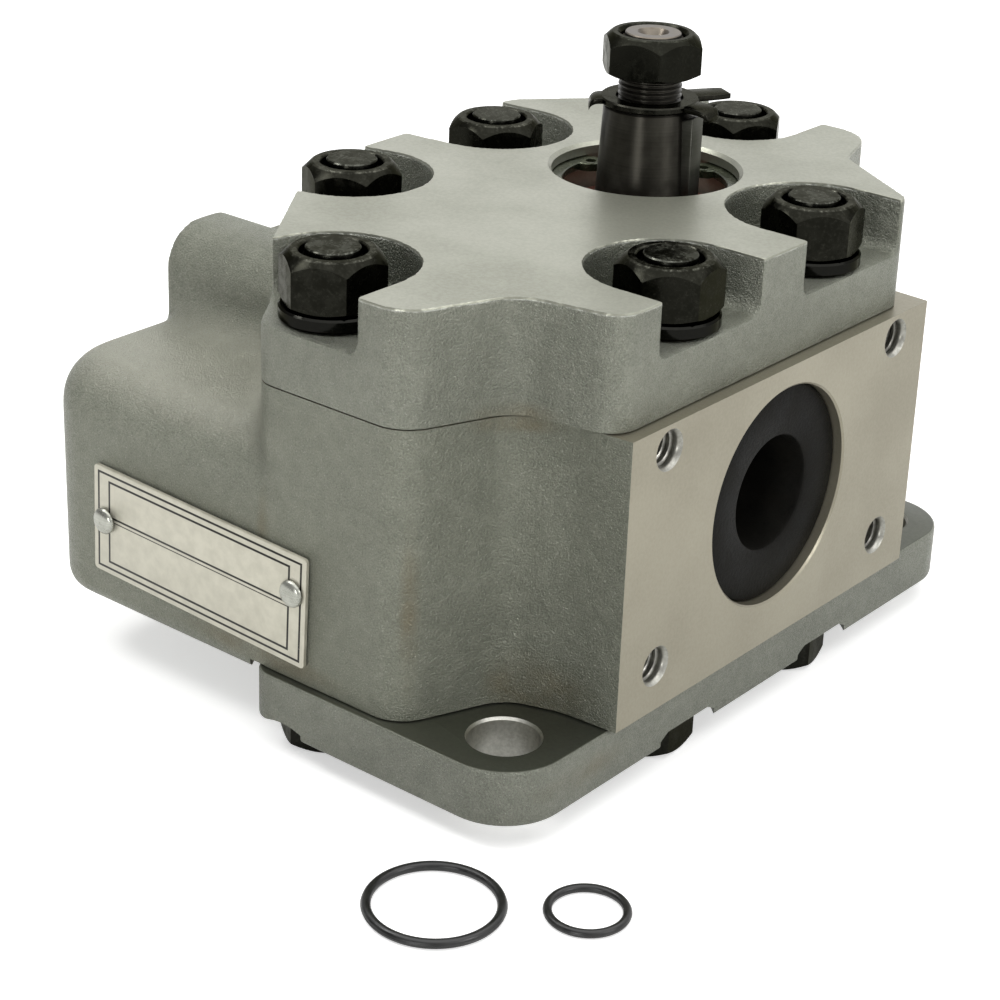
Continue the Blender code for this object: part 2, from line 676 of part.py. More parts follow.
def on_plate(along, across):
    """The (x, z) of a point of the slightly turned name plate, measured from its left rivet."""
    turn = math.radians(PLATE_TURN)
    x = PLATE_LEFT_X + RIVET_INSET + along * math.cos(turn) - across * math.sin(turn)
    return x, PLATE_Z + along * math.sin(turn) + across * math.cos(turn)


def rivet_places():
    """The (x, z) of the two rivets, near the plate's ends."""
    return on_plate(0.0, 0.0), on_plate(PLATE_WIDTH - 2 * RIVET_INSET, 0.0)


# Covers


def rear_cover():
    """The flat rear cover, which is also the mounting flange."""
    plate = prism("rear_cover", rear_outline(), 0.0, REAR_TOP)
    for label, (x, y, _) in BOLT_PLACES.items():
        profile = [
            (0, -OVERCUT), (BOLT_RECESS_RADIUS, -OVERCUT), (BOLT_RECESS_RADIUS, BOLT_HEAD_RECESS),
            (BOLT_HOLE_RADIUS, BOLT_HEAD_RECESS), (BOLT_HOLE_RADIUS, REAR_TOP + OVERCUT), (0, REAR_TOP + OVERCUT),
        ]
        cut(plate, place(turned(f"rear_bolt_hole_{label}", profile, SMALL_SIDES), (x, y, 0)))
    for label, y in (("left", -EAR_Y), ("right", EAR_Y)):
        profile = [
            (0, -OVERCUT), (MOUNT_HOLE_RADIUS, -OVERCUT), (MOUNT_HOLE_RADIUS, REAR_TOP - MOUNT_HOLE_CHAMFER),
            (MOUNT_HOLE_RADIUS + MOUNT_HOLE_CHAMFER + OVERCUT, REAR_TOP + OVERCUT), (0, REAR_TOP + OVERCUT),
        ]
        cut(plate, place(turned(f"mount_hole_{label}", profile, SMALL_SIDES), (EAR_X, y, 0)))
    for label, y in (("left", -DOWEL_Y), ("right", DOWEL_Y)):
        middle = (REAR_TOP + BODY_BOTTOM) / 2
        hole = rod(f"rear_dowel_hole_{label}", DOWEL_RADIUS + FACE_GAP,
                   middle - DOWEL_LENGTH / 2 - FACE_GAP, REAR_TOP + OVERCUT, SMALL_SIDES)
        cut(plate, place(hole, (DOWEL_X, y, 0)))
    finish(plate, "cast_aluminium")


def drive_cover():
    """The star-topped cover on the shaft side, with six nut recesses and the seal bore."""
    cover = prism("drive_cover", casing_outline(), COVER_BOTTOM, COVER_TOP)
    for label, (x, y, _) in BOLT_PLACES.items():
        wall = NUT_RECESS_RADIUS
        profile = [
            (0, COVER_TOP + OVERCUT), (wall, COVER_TOP + OVERCUT), (wall, NUT_SEAT_Z + NUT_RECESS_FILLET),
            (wall - 0.3 * NUT_RECESS_FILLET, NUT_SEAT_Z + 0.3 * NUT_RECESS_FILLET),
            (wall - NUT_RECESS_FILLET, NUT_SEAT_Z), (BOLT_HOLE_RADIUS, NUT_SEAT_Z),
            (BOLT_HOLE_RADIUS, COVER_BOTTOM - OVERCUT), (0, COVER_BOTTOM - OVERCUT),
        ]
        cut(cover, place(turned(f"nut_recess_{label}", profile, ROUND_SIDES), (x, y, 0)))
    lip = SEAL_BORE_CHAMFER
    groove_radius = SEAL_BORE_RADIUS + CIRCLIP_GROOVE
    groove_low = CIRCLIP_Z - FACE_GAP
    groove_high = CIRCLIP_Z + CIRCLIP_THICKNESS + FACE_GAP
    seat = SEAL_Z - FACE_GAP
    profile = [
        (0, COVER_TOP + OVERCUT), (SEAL_BORE_RADIUS + lip + OVERCUT, COVER_TOP + OVERCUT),
        (SEAL_BORE_RADIUS, COVER_TOP - lip), (SEAL_BORE_RADIUS, groove_high), (groove_radius, groove_high),
        (groove_radius, groove_low), (SEAL_BORE_RADIUS, groove_low), (SEAL_BORE_RADIUS, seat),
        (LINER_BORE_RADIUS, seat), (LINER_BORE_RADIUS, COVER_BOTTOM - OVERCUT), (0, COVER_BOTTOM - OVERCUT),
    ]
    cut(cover, place(turned("seal_bore", profile, BORE_SIDES), (0, SHAFT_Y, 0)))
    for label, y in (("left", -DOWEL_Y), ("right", DOWEL_Y)):
        middle = (BODY_TOP + COVER_BOTTOM) / 2
        hole = rod(f"cover_dowel_hole_{label}", DOWEL_RADIUS + FACE_GAP, COVER_BOTTOM - OVERCUT,
                   middle + DOWEL_LENGTH / 2 + FACE_GAP, SMALL_SIDES)
        cut(cover, place(hole, (DOWEL_X, y, 0)))
    finish(cover, "machined_aluminium")


# Gears and shafts


def involute_outline(phase):
    """Points of a spur gear with involute flanks, one tooth centred on the phase angle."""
    base = GEAR_CENTRES / 2 * math.cos(PRESSURE_ANGLE)

    def involute(radius):
        slope = math.acos(min(1.0, base / radius))
        return math.tan(slope) - slope

    pitch = GEAR_CENTRES / 2
    half_pitch = math.pi / (2 * TEETH) - BACKLASH / (2 * pitch)
    start = max(base, ROOT_RADIUS)
    flank = []
    for k in range(4):
        radius = start + (TIP_RADIUS - start) * k / 3
        flank.append((radius, half_pitch + involute(pitch) - involute(radius)))
    root_half = math.pi / TEETH - flank[0][1]
    points = []
    for tooth in range(TEETH):
        middle = phase + 2 * math.pi * tooth / TEETH
        ring = [(ROOT_RADIUS, -flank[0][1] - 0.35 * root_half)]
        ring += [(radius, -angle) for radius, angle in flank]
        ring += [(TIP_RADIUS, 0.0)]
        ring += [(radius, angle) for radius, angle in reversed(flank)]
        ring += [(ROOT_RADIUS, flank[0][1] + 0.35 * root_half)]
        points += [(r * math.cos(middle + a), r * math.sin(middle + a)) for r, a in ring]
    return points


def on_axis(name, y):
    """An empty on a gear axis, which carries what turns there."""
    axis = bpy.data.objects.new(name, None)
    bpy.context.scene.collection.objects.link(axis)
    axis.location = (0, y, 0)
    return axis


def drive_gear_shaft(axis):
    """The drive shaft in one piece with its gear: journals, taper, thread and centre drilling."""
    chamfer = SHAFT_CHAMFER
    profile = [
        (0, SHAFT_BOTTOM), (JOURNAL_RADIUS - chamfer, SHAFT_BOTTOM), (JOURNAL_RADIUS, SHAFT_BOTTOM + chamfer),
        (JOURNAL_RADIUS, TAPER_START_Z), (TAPER_LARGE_RADIUS, TAPER_START_Z),
        (TAPER_SMALL_RADIUS, TAPER_TOP_Z), (SHAFT_THREAD_RADIUS, TAPER_TOP_Z),
        (SHAFT_THREAD_RADIUS, SHAFT_TOP - chamfer), (SHAFT_THREAD_RADIUS - chamfer, SHAFT_TOP),
        (CENTRE_DRILL_RADIUS, SHAFT_TOP), (CENTRE_DRILL_RADIUS * 0.4, SHAFT_TOP - CENTRE_DRILL_DEPTH),
        (0, SHAFT_TOP - CENTRE_DRILL_DEPTH - chamfer),
    ]
    shaft = turned("drive_gear_shaft", profile, ROUND_SIDES)
    add(shaft, prism("drive_teeth", involute_outline(0.0), GEAR_Z, GEAR_Z + GEAR_WIDTH))
    slot_radius = KEY_DISC_RADIUS + FACE_GAP
    half = KEY_WIDTH / 2 + FACE_GAP
    slot = rod("keyway_cutter", slot_radius, -half, half)
    centre = KEY_TOP_RADIUS + KEY_FLAT_DROP
    turn = math.radians(KEY_TURN)
    slot.rotation_euler = (math.pi / 2, 0, turn)
    slot.location = (centre * math.cos(turn), centre * math.sin(turn), KEY_Z)
    cut(shaft, slot)
    shaft.parent = axis
    for step in shaft.modifiers:
        step.object.parent = axis
    finish(shaft, "dark_steel")


def driven_gear_shaft(axis):
    """The driven gear in one piece with its two journals."""
    chamfer = SHAFT_CHAMFER
    top = COVER_BOTTOM - SHAFT_END_GAP
    profile = [
        (0, SHAFT_BOTTOM), (JOURNAL_RADIUS - chamfer, SHAFT_BOTTOM), (JOURNAL_RADIUS, SHAFT_BOTTOM + chamfer),
        (JOURNAL_RADIUS, top - chamfer), (JOURNAL_RADIUS - chamfer, top), (0, top),
    ]
    shaft = turned("driven_gear_shaft", profile, ROUND_SIDES)
    teeth = prism("driven_teeth", involute_outline(math.pi / TEETH), GEAR_Z, GEAR_Z + GEAR_WIDTH)
    add(shaft, teeth)
    shaft.parent = axis
    teeth.parent = axis
    finish(shaft, "dark_steel")


def woodruff_key(axis):
    """The half-round key in the taper."""
    centre = KEY_TOP_RADIUS + KEY_FLAT_DROP
    edge = math.acos(KEY_FLAT_DROP / KEY_DISC_RADIUS)
    steps = 12
    outline = []
    for k in range(steps + 1):
        t = math.pi - edge + 2 * edge * k / steps
        outline.append((centre + KEY_DISC_RADIUS * math.cos(t), KEY_Z + KEY_DISC_RADIUS * math.sin(t)))
    half = KEY_WIDTH / 2
    key = loft("woodruff_key", [[(x, y, z) for x, z in outline] for y in (-half, half)])
    key.parent = axis
    key.rotation_euler = (0, 0, math.radians(KEY_TURN))
    finish(key, "dark_steel")


def tab_washer(axis):
    """The locking washer: a flat ring with a tab bent down over the key and two more tabs."""
    low = WASHER_Z
    high = WASHER_Z + WASHER_THICKNESS
    washer = prism("tab_washer", circle(WASHER_RADIUS, ROUND_SIDES), low, high)
    tab_low = low + 0.05 * MM
    tab_high = high - 0.05 * MM
    root = WASHER_BORE_RADIUS + 1.5 * MM
    for name, turn, width, reach, bend in WASHER_TABS:
        bent_from = reach - WASHER_THICKNESS
        section = [(root, tab_low), (reach, tab_low), (reach, tab_high)]
        if bend:
            section = [(root, tab_low), (bent_from, tab_low), (bent_from, tab_low - bend),
                       (reach, tab_low - bend), (reach, tab_high - 1.0 * MM), (reach - 1.0 * MM, tab_high)]
        section += [(root, tab_high)]
        tab = loft(name, [[(x, y, z) for x, z in section] for y in (-width / 2, width / 2)])
        tab.rotation_euler = (0, 0, math.radians(turn))
        tab.parent = axis
        add(washer, tab)
    bore = rod("washer_bore", WASHER_BORE_RADIUS, low - OVERCUT, high + OVERCUT)
    bore.parent = axis
    cut(washer, bore)
    washer.parent = axis
    finish(washer, "black_oxide_steel")


# Hexagon fasteners


def hexagon(name, across_flats, bottom, top, chamfer_bottom, chamfer_top):
    """A hexagon along Z whose corners are turned off at the chamfered ends."""
    corner = across_flats / math.sqrt(3)
    block = prism(name, circle(corner, 6), bottom, top)
    drop = (corner - 0.96 * across_flats / 2) * math.tan(math.radians(30.0))
    small = 0.96 * across_flats / 2
    wide = corner + OVERCUT
    step = OVERCUT * math.tan(math.radians(30.0))
    profile = [(0, bottom)]
    profile += [(small, bottom), (wide, bottom + drop + step)] if chamfer_bottom else [(wide, bottom)]
    profile += [(wide, top - drop - step), (small, top)] if chamfer_top else [(wide, top)]
    profile += [(0, top)]
    return combine(block, turned(name + "_turning", profile, SMALL_SIDES), "INTERSECT")


def nut_mesh(height, bore):
    """A hexagon nut standing on the origin, with a countersunk hole."""
    nut = hexagon("nut_shape", HEX_ACROSS_FLATS, 0.0, height, False, True)
    sink = 0.9 * MM
    profile = [
        (0, -OVERCUT), (bore, -OVERCUT), (bore, height - sink),
        (bore + sink + OVERCUT, height + OVERCUT), (0, height + OVERCUT),
    ]
    cut(nut, turned("nut_hole", profile, SMALL_SIDES))
    return settled_mesh(nut)


def bolt_mesh():
    """A hexagon-head bolt with its head down, in the assembly's heights."""
    bolt = hexagon("bolt_shape", HEX_ACROSS_FLATS, FLOOR_Z, BOLT_HEAD_TOP, True, False)
    shank = rod("bolt_shank", BOLT_RADIUS, BOLT_HEAD_TOP - OVERCUT, BOLT_TOP, SMALL_SIDES, 1.2 * MM)
    add(bolt, shank)
    return settled_mesh(bolt)


def spring_washer_mesh():
    """A split spring washer, closed flat."""
    gap = math.radians(7.0)
    steps = SMALL_SIDES
    turns = [gap + (2 * math.pi - 2 * gap) * k / steps for k in range(steps + 1)]
    inner = BOLT_HOLE_RADIUS
    outer = SPRING_WASHER_RADIUS
    outline = [(outer * math.cos(t), outer * math.sin(t)) for t in turns]
    outline += [(inner * math.cos(t), inner * math.sin(t)) for t in reversed(turns)]
    washer = prism("spring_washer_shape", outline, 0.0, SPRING_WASHER_THICKNESS)
    return settled_mesh(washer)


def casing_fasteners():
    """Six through bolts, each with a spring washer and a nut on the drive side."""
    bolts = {label: (x, y, 0.0, turn) for label, (x, y, turn) in BOLT_PLACES.items()}
    copies(bolt_mesh(), "through_bolt", bolts, "black_oxide_steel")
    washers = {label: (x, y, SPRING_WASHER_Z, turn) for label, (x, y, turn) in BOLT_PLACES.items()}
    copies(spring_washer_mesh(), "spring_washer", washers, "black_oxide_steel")
    nuts = {label: (x, y, NUT_Z, turn) for label, (x, y, turn) in BOLT_PLACES.items()}
    copies(nut_mesh(NUT_HEIGHT, BOLT_HOLE_RADIUS), "casing_nut", nuts, "black_oxide_steel")


def shaft_nut(axis):
    """The nut on the drive shaft's thread."""
    mesh = nut_mesh(SHAFT_NUT_HEIGHT, SHAFT_THREAD_RADIUS + FACE_GAP)
    nut = bpy.data.objects.new("shaft_nut", mesh)
    bpy.context.scene.collection.objects.link(nut)
    nut.parent = axis
    place(nut, (0, 0, SHAFT_NUT_Z), SHAFT_NUT_TURN)
    finish(nut, "black_oxide_steel")


# Bearings, seals and dowels


def bearing_blocks():
    """Four bearing blocks, flat where each pair meets, and their bushes."""
    radius = GEAR_BORE_RADIUS - FACE_GAP
    flat = BEARING_FLAT_GAP / 2
    edge = math.asin((SHAFT_Y - flat) / radius)
    steps = 24
    outline = []
    for k in range(steps + 1):
        t = -edge + (math.pi + 2 * edge) * k / steps
        outline.append((radius * math.cos(t), radius * math.sin(t)))
    for level, z in (("lower", LOWER_BEARING_Z), ("upper", UPPER_BEARING_Z)):
        for side, y, turn in (("drive", SHAFT_Y, 0.0), ("driven", -SHAFT_Y, 180.0)):
            block = prism(f"{side}_bearing_block_{level}", outline, 0.0, BEARING_HEIGHT)
            place(block, (0, y, z), turn)
            hole = rod(f"{side}_{level}_block_hole", LINER_RADIUS + FACE_GAP, -OVERCUT,
                       BEARING_HEIGHT + OVERCUT)
            cut(block, place(hole, (0, y, z)))
            finish(block, "bearing_alloy")
            wall = [(LINER_BORE_RADIUS, 0.0), (LINER_RADIUS, 0.0), (LINER_RADIUS, BEARING_HEIGHT),
                    (LINER_BORE_RADIUS, BEARING_HEIGHT)]
            liner = turned(f"{side}_bush_{level}", wall, ROUND_SIDES, closed=True)
            finish(place(liner, (0, y, z)), "liner_bronze")


def joint_seals():
    """The oval seals between the body and its covers."""
    path = stadium(GROOVE_RADIUS)
    for level, z in (
        ("lower", BODY_BOTTOM + SEAL_CORD_RADIUS),
        ("upper", BODY_TOP - SEAL_CORD_RADIUS),
    ):
        finish(swept_ring(f"body_seal_{level}", path, SEAL_CORD_RADIUS, 6, z), "black_rubber")


def shaft_seal():
    """The lip seal round the drive shaft."""
    outer = SEAL_BORE_RADIUS - FACE_GAP
    lip = LINER_BORE_RADIUS
    wall = SEAL_WALL
    web = SEAL_HEIGHT * 0.55
    profile = [
        (outer, 0.0), (outer, SEAL_HEIGHT), (outer - wall, SEAL_HEIGHT), (outer - 2 * wall, web + wall / 2),
        (lip + wall, web + wall / 2), (lip, SEAL_HEIGHT), (lip, web), (lip + wall, 0.0), (lip + 2 * wall, web - wall),
        (outer - wall, web - wall), (outer - wall, 0.0),
    ]
    seal = turned("shaft_seal", profile, ROUND_SIDES, closed=True)
    finish(place(seal, (0, SHAFT_Y, SEAL_Z)), "seal_rubber")


def circlip():
    """The internal circlip above the seal, with a lug and hole at each end."""
    outer = SEAL_BORE_RADIUS + CIRCLIP_GROOVE - FACE_GAP
    inner = outer - CIRCLIP_WIDTH
    lug = inner - CIRCLIP_LUG_DEPTH
    lug_span = math.radians(13.0)
    start = math.radians(CIRCLIP_LUG_ANGLE - 7.0)
    end = 2 * math.pi - start
    steps = 30
    turns = [start + (end - start) * k / steps for k in range(steps + 1)]
    outline = [(outer * math.cos(t), outer * math.sin(t)) for t in turns]
    inner_turns = [end, end - lug_span, end - lug_span * 1.2]
    rest = [end - lug_span * 1.2 - (end - start - 2.4 * lug_span) * k / steps for k in range(1, steps)]
    inner_turns += rest + [start + lug_span * 1.2, start + lug_span, start]
    reach = [lug, lug, inner] + [inner] * len(rest) + [inner, lug, lug]
    outline += [(r * math.cos(t), r * math.sin(t)) for r, t in zip(reach, inner_turns)]
    ring = prism("seal_circlip", outline, 0.0, CIRCLIP_THICKNESS)
    place(ring, (0, SHAFT_Y, CIRCLIP_Z), CIRCLIP_OPEN_DIRECTION)
    for i, sign in enumerate((-1, 1)):
        angle = math.radians(CIRCLIP_OPEN_DIRECTION + sign * CIRCLIP_LUG_ANGLE)
        hole = rod(f"circlip_hole_{i + 1}", CIRCLIP_LUG_HOLE_RADIUS, CIRCLIP_Z - OVERCUT,
                   CIRCLIP_Z + CIRCLIP_THICKNESS + OVERCUT, TINY_SIDES)
        middle = inner - CIRCLIP_LUG_DEPTH / 4
        cut(ring, place(hole, (middle * math.cos(angle), SHAFT_Y + middle * math.sin(angle), 0)))
    finish(ring, "spring_steel")


def dowels():
    """Four dowel pins that line the covers up with the body."""
    for level, z in (("lower", (REAR_TOP + BODY_BOTTOM) / 2), ("upper", (BODY_TOP + COVER_BOTTOM) / 2)):
        for side, y in (("left", -DOWEL_Y), ("right", DOWEL_Y)):
            pin = rod(f"dowel_{level}_{side}", DOWEL_RADIUS, -DOWEL_LENGTH / 2, DOWEL_LENGTH / 2, SMALL_SIDES)
            finish(place(pin, (DOWEL_X, y, z)), "bright_steel")


# Outside trim


def port_plug(name, mouth_radius, mouth_depth, passage_radius):
    """A push-in cap: a flange in the port's mouth and a hollow spigot in its passage."""
    flange = mouth_radius - FACE_GAP
    back = -mouth_depth + FACE_GAP
    front = -PLUG_RECESS
    spigot = passage_radius - FACE_GAP
    cavity = spigot - PLUG_WALL
    profile = [
        (0, -PLUG_DEPTH), (spigot - 1 * MM, -PLUG_DEPTH), (spigot, -PLUG_DEPTH + 1 * MM), (spigot, back),
        (flange, back), (flange, front - 0.6 * MM), (flange - 0.6 * MM, front), (cavity + 0.6 * MM, front),
        (cavity, front - 0.6 * MM), (cavity, -PLUG_DEPTH + PLUG_FLOOR), (0, -PLUG_DEPTH + PLUG_FLOOR),
    ]
    return turned(name, profile, ROUND_SIDES)


def port_plugs():
    inlet = port_plug("inlet_plug", INLET_MOUTH_RADIUS, INLET_MOUTH_DEPTH, INLET_PASSAGE_RADIUS)
    finish(place(inlet, (PORT_FACE_X, 0, PORT_Z), lay="X"), "black_plastic")
    outlet = port_plug("outlet_plug", OUTLET_MOUTH_RADIUS, OUTLET_MOUTH_DEPTH, OUTLET_PASSAGE_RADIUS)
    finish(place(outlet, (OUTLET_FACE_X, 0, PORT_Z), lay="-X"), "black_plastic")


def name_plate():
    """The bare aluminium plate and its two drive rivets."""
    left = -RIVET_INSET
    right = PLATE_WIDTH - RIVET_INSET
    half = PLATE_HEIGHT / 2
    corner = 0.8 * MM
    outline = rounded_outline([
        (*on_plate(left, -half), corner), (*on_plate(right, -half), corner),
        (*on_plate(right, half), corner), (*on_plate(left, half), corner),
    ])
    back = -CASING_END - FACE_GAP
    front = back - PLATE_THICKNESS
    plate = loft("name_plate", [[(x, y, z) for x, z in outline] for y in (back, front)])
    for i, (x, z) in enumerate(rivet_places()):
        hole = rod(f"plate_hole_{i + 1}", RIVET_SHANK_RADIUS + FACE_GAP, -OVERCUT, 3 * MM, TINY_SIDES)
        cut(plate, place(hole, (x, -CASING_END, z), lay="-Y"))
    finish(plate, "plate_aluminium")
    seat = FACE_GAP + PLATE_THICKNESS + FACE_GAP
    dome = [
        (RIVET_HEAD_RADIUS * math.cos(math.radians(a)), seat + 0.45 * RIVET_HEAD_RADIUS * math.sin(math.radians(a)))
        for a in (0, 30, 60)
    ]
    profile = [(0, -RIVET_SHANK_LENGTH), (RIVET_SHANK_RADIUS, -RIVET_SHANK_LENGTH), (RIVET_SHANK_RADIUS, seat)]
    profile += dome
    profile += [(0, seat + 0.45 * RIVET_HEAD_RADIUS)]
    for side, (x, z) in zip(("left", "right"), rivet_places()):
        rivet = turned(f"drive_rivet_{side}", profile, 16)
        finish(place(rivet, (x, -CASING_END, z), lay="-Y"), "bright_steel")


def loose_rings():
    """The two port seals supplied with the pump, lying in front of it."""
    rings = (
        ("large_port_ring", LARGE_RING_RADIUS, LARGE_RING_CORD, LARGE_RING_PLACE, 28),
        ("small_port_ring", SMALL_RING_RADIUS, SMALL_RING_CORD, SMALL_RING_PLACE, 20),
    )
    for name, radius, cord, centre, sides in rings:
        path = circle(radius, sides, centre)
        finish(swept_ring(name, path, cord, 6, FLOOR_Z + cord * math.sin(math.radians(60))), "black_rubber")


def build():
    rear_cover()
    pump_body()
    drive_cover()
    casing_fasteners()
    drive_axis = on_axis("drive_axis", SHAFT_Y)
    drive_gear_shaft(drive_axis)
    woodruff_key(drive_axis)
    tab_washer(drive_axis)
    shaft_nut(drive_axis)
    driven_gear_shaft(on_axis("driven_axis", -SHAFT_Y))
    bearing_blocks()
    joint_seals()
    shaft_seal()
    circlip()
    dowels()
    port_plugs()
    name_plate()
    loose_rings()


build()
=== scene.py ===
import math

import bmesh
import bpy
from mathutils import Matrix, Vector


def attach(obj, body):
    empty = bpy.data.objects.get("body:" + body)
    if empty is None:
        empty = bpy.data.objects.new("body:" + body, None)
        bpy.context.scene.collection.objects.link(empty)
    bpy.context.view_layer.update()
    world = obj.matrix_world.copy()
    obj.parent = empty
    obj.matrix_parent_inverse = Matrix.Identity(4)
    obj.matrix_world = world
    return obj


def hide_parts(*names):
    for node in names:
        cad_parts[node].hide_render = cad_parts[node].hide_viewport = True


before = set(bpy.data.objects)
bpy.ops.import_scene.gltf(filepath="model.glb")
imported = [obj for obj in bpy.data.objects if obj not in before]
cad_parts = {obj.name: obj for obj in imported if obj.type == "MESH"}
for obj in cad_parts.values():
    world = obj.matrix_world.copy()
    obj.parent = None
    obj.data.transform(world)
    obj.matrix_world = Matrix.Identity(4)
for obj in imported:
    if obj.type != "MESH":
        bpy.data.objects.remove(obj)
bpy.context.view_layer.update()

# Cast body
# The middle casing is one sand casting in aluminium alloy, grey and finely grained from the mould.
# Its joint faces, gear bores, port faces and tapped holes are machined after casting. Sizes here are
# in millimetres, and the helpers turn them into metres.

MM = 0.001
BODY_LOW, BODY_HIGH = 12.3, 74.0
SHAFT_Y = 23.7
PORT_Z = 45.5
INLET_FACE, OUTLET_FACE = 55.5, -67.0
BOLT_HOLE = 6.65
BOLTS = {
    "front_left": (42.0, -25.2, 36.7),
    "front_right": (42.0, 25.2, 44.7),
    "end_right": (-6.4, 67.9, 0.0),
    "back_right": (-42.0, 24.0, 53.7),
    "back_left": (-42.0, -24.0, 28.7),
    "end_left": (-6.4, -67.9, 26.7),
}


def node(tree, kind, settings=None, **inputs):
    """Adds one shader node; an input is a plain value or another node's output."""
    made = tree.nodes.new(kind)
    for key, value in (settings or {}).items():
        setattr(made, key, value)
    for key, value in inputs.items():
        socket = made.inputs[int(key[1:]) if key[1:].isdigit() else key.replace("_", " ")]
        if isinstance(value, bpy.types.NodeSocket):
            tree.links.new(value, socket)
        else:
            socket.default_value = value
    return made


def rgb(red, green, blue):
    """A colour as seen on a screen, 0 to 255, turned into the shader's linear values."""
    linear = []
    for part in (red, green, blue):
        part /= 255
        linear.append(part / 12.92 if part <= 0.04045 else ((part + 0.055) / 1.055) ** 2.4)
    return (*linear, 1.0)


def noise(tree, place, scale, detail=3.0, rough=0.55):
    return node(tree, "ShaderNodeTexNoise", Vector=place, Scale=scale, Detail=detail, Roughness=rough).outputs[0]


def span(tree, value, low, high, to_low=0.0, to_high=1.0):
    """Stretches the part of a value between low and high to a new range, with soft ends."""
    return node(tree, "ShaderNodeMapRange", {"interpolation_type": "SMOOTHSTEP"}, Value=value, From_Min=low,
                From_Max=high, To_Min=to_low, To_Max=to_high).outputs[0]


def maths(tree, operation, a, b=0.0):
    return node(tree, "ShaderNodeMath", {"operation": operation}, i0=a, i1=b).outputs[0]


def times(tree, a, b):
    return maths(tree, "MULTIPLY", a, b)


def plus(tree, a, b):
    return maths(tree, "ADD", a, b)


def blend(tree, factor, a, b, kind="MIX"):
    return node(tree, "ShaderNodeMix", {"data_type": "RGBA", "blend_type": kind}, i0=factor, i6=a, i7=b).outputs[2]


def effect(name, inputs, outputs):
    """Starts a shader group with named inputs and outputs."""
    tree = bpy.data.node_groups.new(name, "ShaderNodeTree")
    for label, kind in inputs:
        tree.interface.new_socket(name=label, in_out="INPUT", socket_type="NodeSocket" + kind)
    for label, kind in outputs:
        tree.interface.new_socket(name=label, in_out="OUTPUT", socket_type="NodeSocket" + kind)
    return tree, tree.nodes.new("NodeGroupInput").outputs, tree.nodes.new("NodeGroupOutput").inputs


def new_finish(name, centre=(0, 0, 0), turned=(0, 0, 0), **sockets):
    """A material with its shader's plain values set, and the place on the piece in millimetres."""
    material = bpy.data.materials.new(name)
    material.use_nodes = True
    tree = material.node_tree
    shader = tree.nodes["Principled BSDF"]
    for key, value in sockets.items():
        shader.inputs[key.replace("_", " ")].default_value = value
    here = node(tree, "ShaderNodeTexCoord").outputs["Object"]
    place = node(tree, "ShaderNodeMapping", {"vector_type": "TEXTURE"}, Vector=here, Scale=(MM, MM, MM),
                 Location=[c * MM for c in centre], Rotation=[math.radians(a) for a in turned]).outputs[0]
    return material, tree, shader, place


def give(tree, shader, colour, roughness, height=None, depth=0.0):
    """Wires a finish's colour, roughness and fine relief into its shader."""
    tree.links.new(colour, shader.inputs["Base Color"])
    tree.links.new(roughness, shader.inputs["Roughness"])
    if height:
        bump = node(tree, "ShaderNodeBump", Height=height, Distance=depth * MM, Strength=1.0)
        tree.links.new(bump.outputs[0], shader.inputs["Normal"])


SKIN = [("Color", "Color"), ("Roughness", "Float"), ("Height", "Float")]
METAL = [("Place", "Vector"), ("Light", "Color"), ("Dark", "Color")]
sand_cast, enter, leave = effect("Sand-cast skin", METAL, SKIN)
cloud = span(sand_cast, noise(sand_cast, enter["Place"], 0.04), 0.3, 0.7)
patch = span(sand_cast, noise(sand_cast, enter["Place"], 0.3, 4.0, 0.6), 0.3, 0.7)
sand = span(sand_cast, noise(sand_cast, enter["Place"], 2.5, 3.0, 0.7), 0.25, 0.75)
# Painted glints: small dots of the skin are mixed toward near-white, standing in for light caught by single grains.
grit = node(sand_cast, "ShaderNodeTexVoronoi", Vector=enter["Place"], Scale=2.3)
grain_value = node(sand_cast, "ShaderNodeSeparateColor", Color=grit.outputs["Color"]).outputs[0]
painted_glint = times(sand_cast, span(sand_cast, grain_value, 0.82, 0.92), span(sand_cast, grit.outputs["Distance"], 0.4, 0.1))
tone = plus(sand_cast, times(sand_cast, plus(sand_cast, cloud, patch), 0.2), times(sand_cast, sand, 0.6))
skin = blend(sand_cast, tone, enter["Dark"], enter["Light"])
skin = blend(sand_cast, times(sand_cast, painted_glint, 0.3), skin, rgb(206, 206, 198))
sand_cast.links.new(skin, leave["Color"])
sand_cast.links.new(span(sand_cast, sand, 0.0, 1.0, 0.43, 0.27), leave["Roughness"])
sand_cast.links.new(plus(sand_cast, sand, times(sand_cast, patch, 0.8)), leave["Height"])

machined, enter, leave = effect("Machined skin", METAL, SKIN)
cloud = span(machined, noise(machined, enter["Place"], 0.035, 3.0, 0.5), 0.25, 0.75)
speck = span(machined, noise(machined, enter["Place"], 1.3, 4.0, 0.65), 0.3, 0.7)
tone = plus(machined, times(machined, cloud, 0.7), times(machined, speck, 0.3))
machined.links.new(blend(machined, tone, enter["Dark"], enter["Light"]), leave["Color"])
machined.links.new(span(machined, tone, 0.0, 1.0, 0.42, 0.3), leave["Roughness"])
machined.links.new(speck, leave["Height"])

# Patches lays a second colour over a skin in wisps: oil stains, and painted light on the chamber's top.
patches, enter, leave = effect(
    "Patches", [("Color", "Color"), ("Patch", "Color"), ("Place", "Vector"), ("Amount", "Float"), ("Least", "Float")],
    [("Color", "Color")])
wisps = span(patches, noise(patches, enter["Place"], 0.12, 5.0, 0.6), 0.3, 0.75, enter["Least"], 0.9)
stain_and_light_share = times(patches, wisps, times(patches, enter["Amount"], 0.7))
patches.links.new(blend(patches, stain_and_light_share, enter["Color"], enter["Patch"]), leave["Color"])


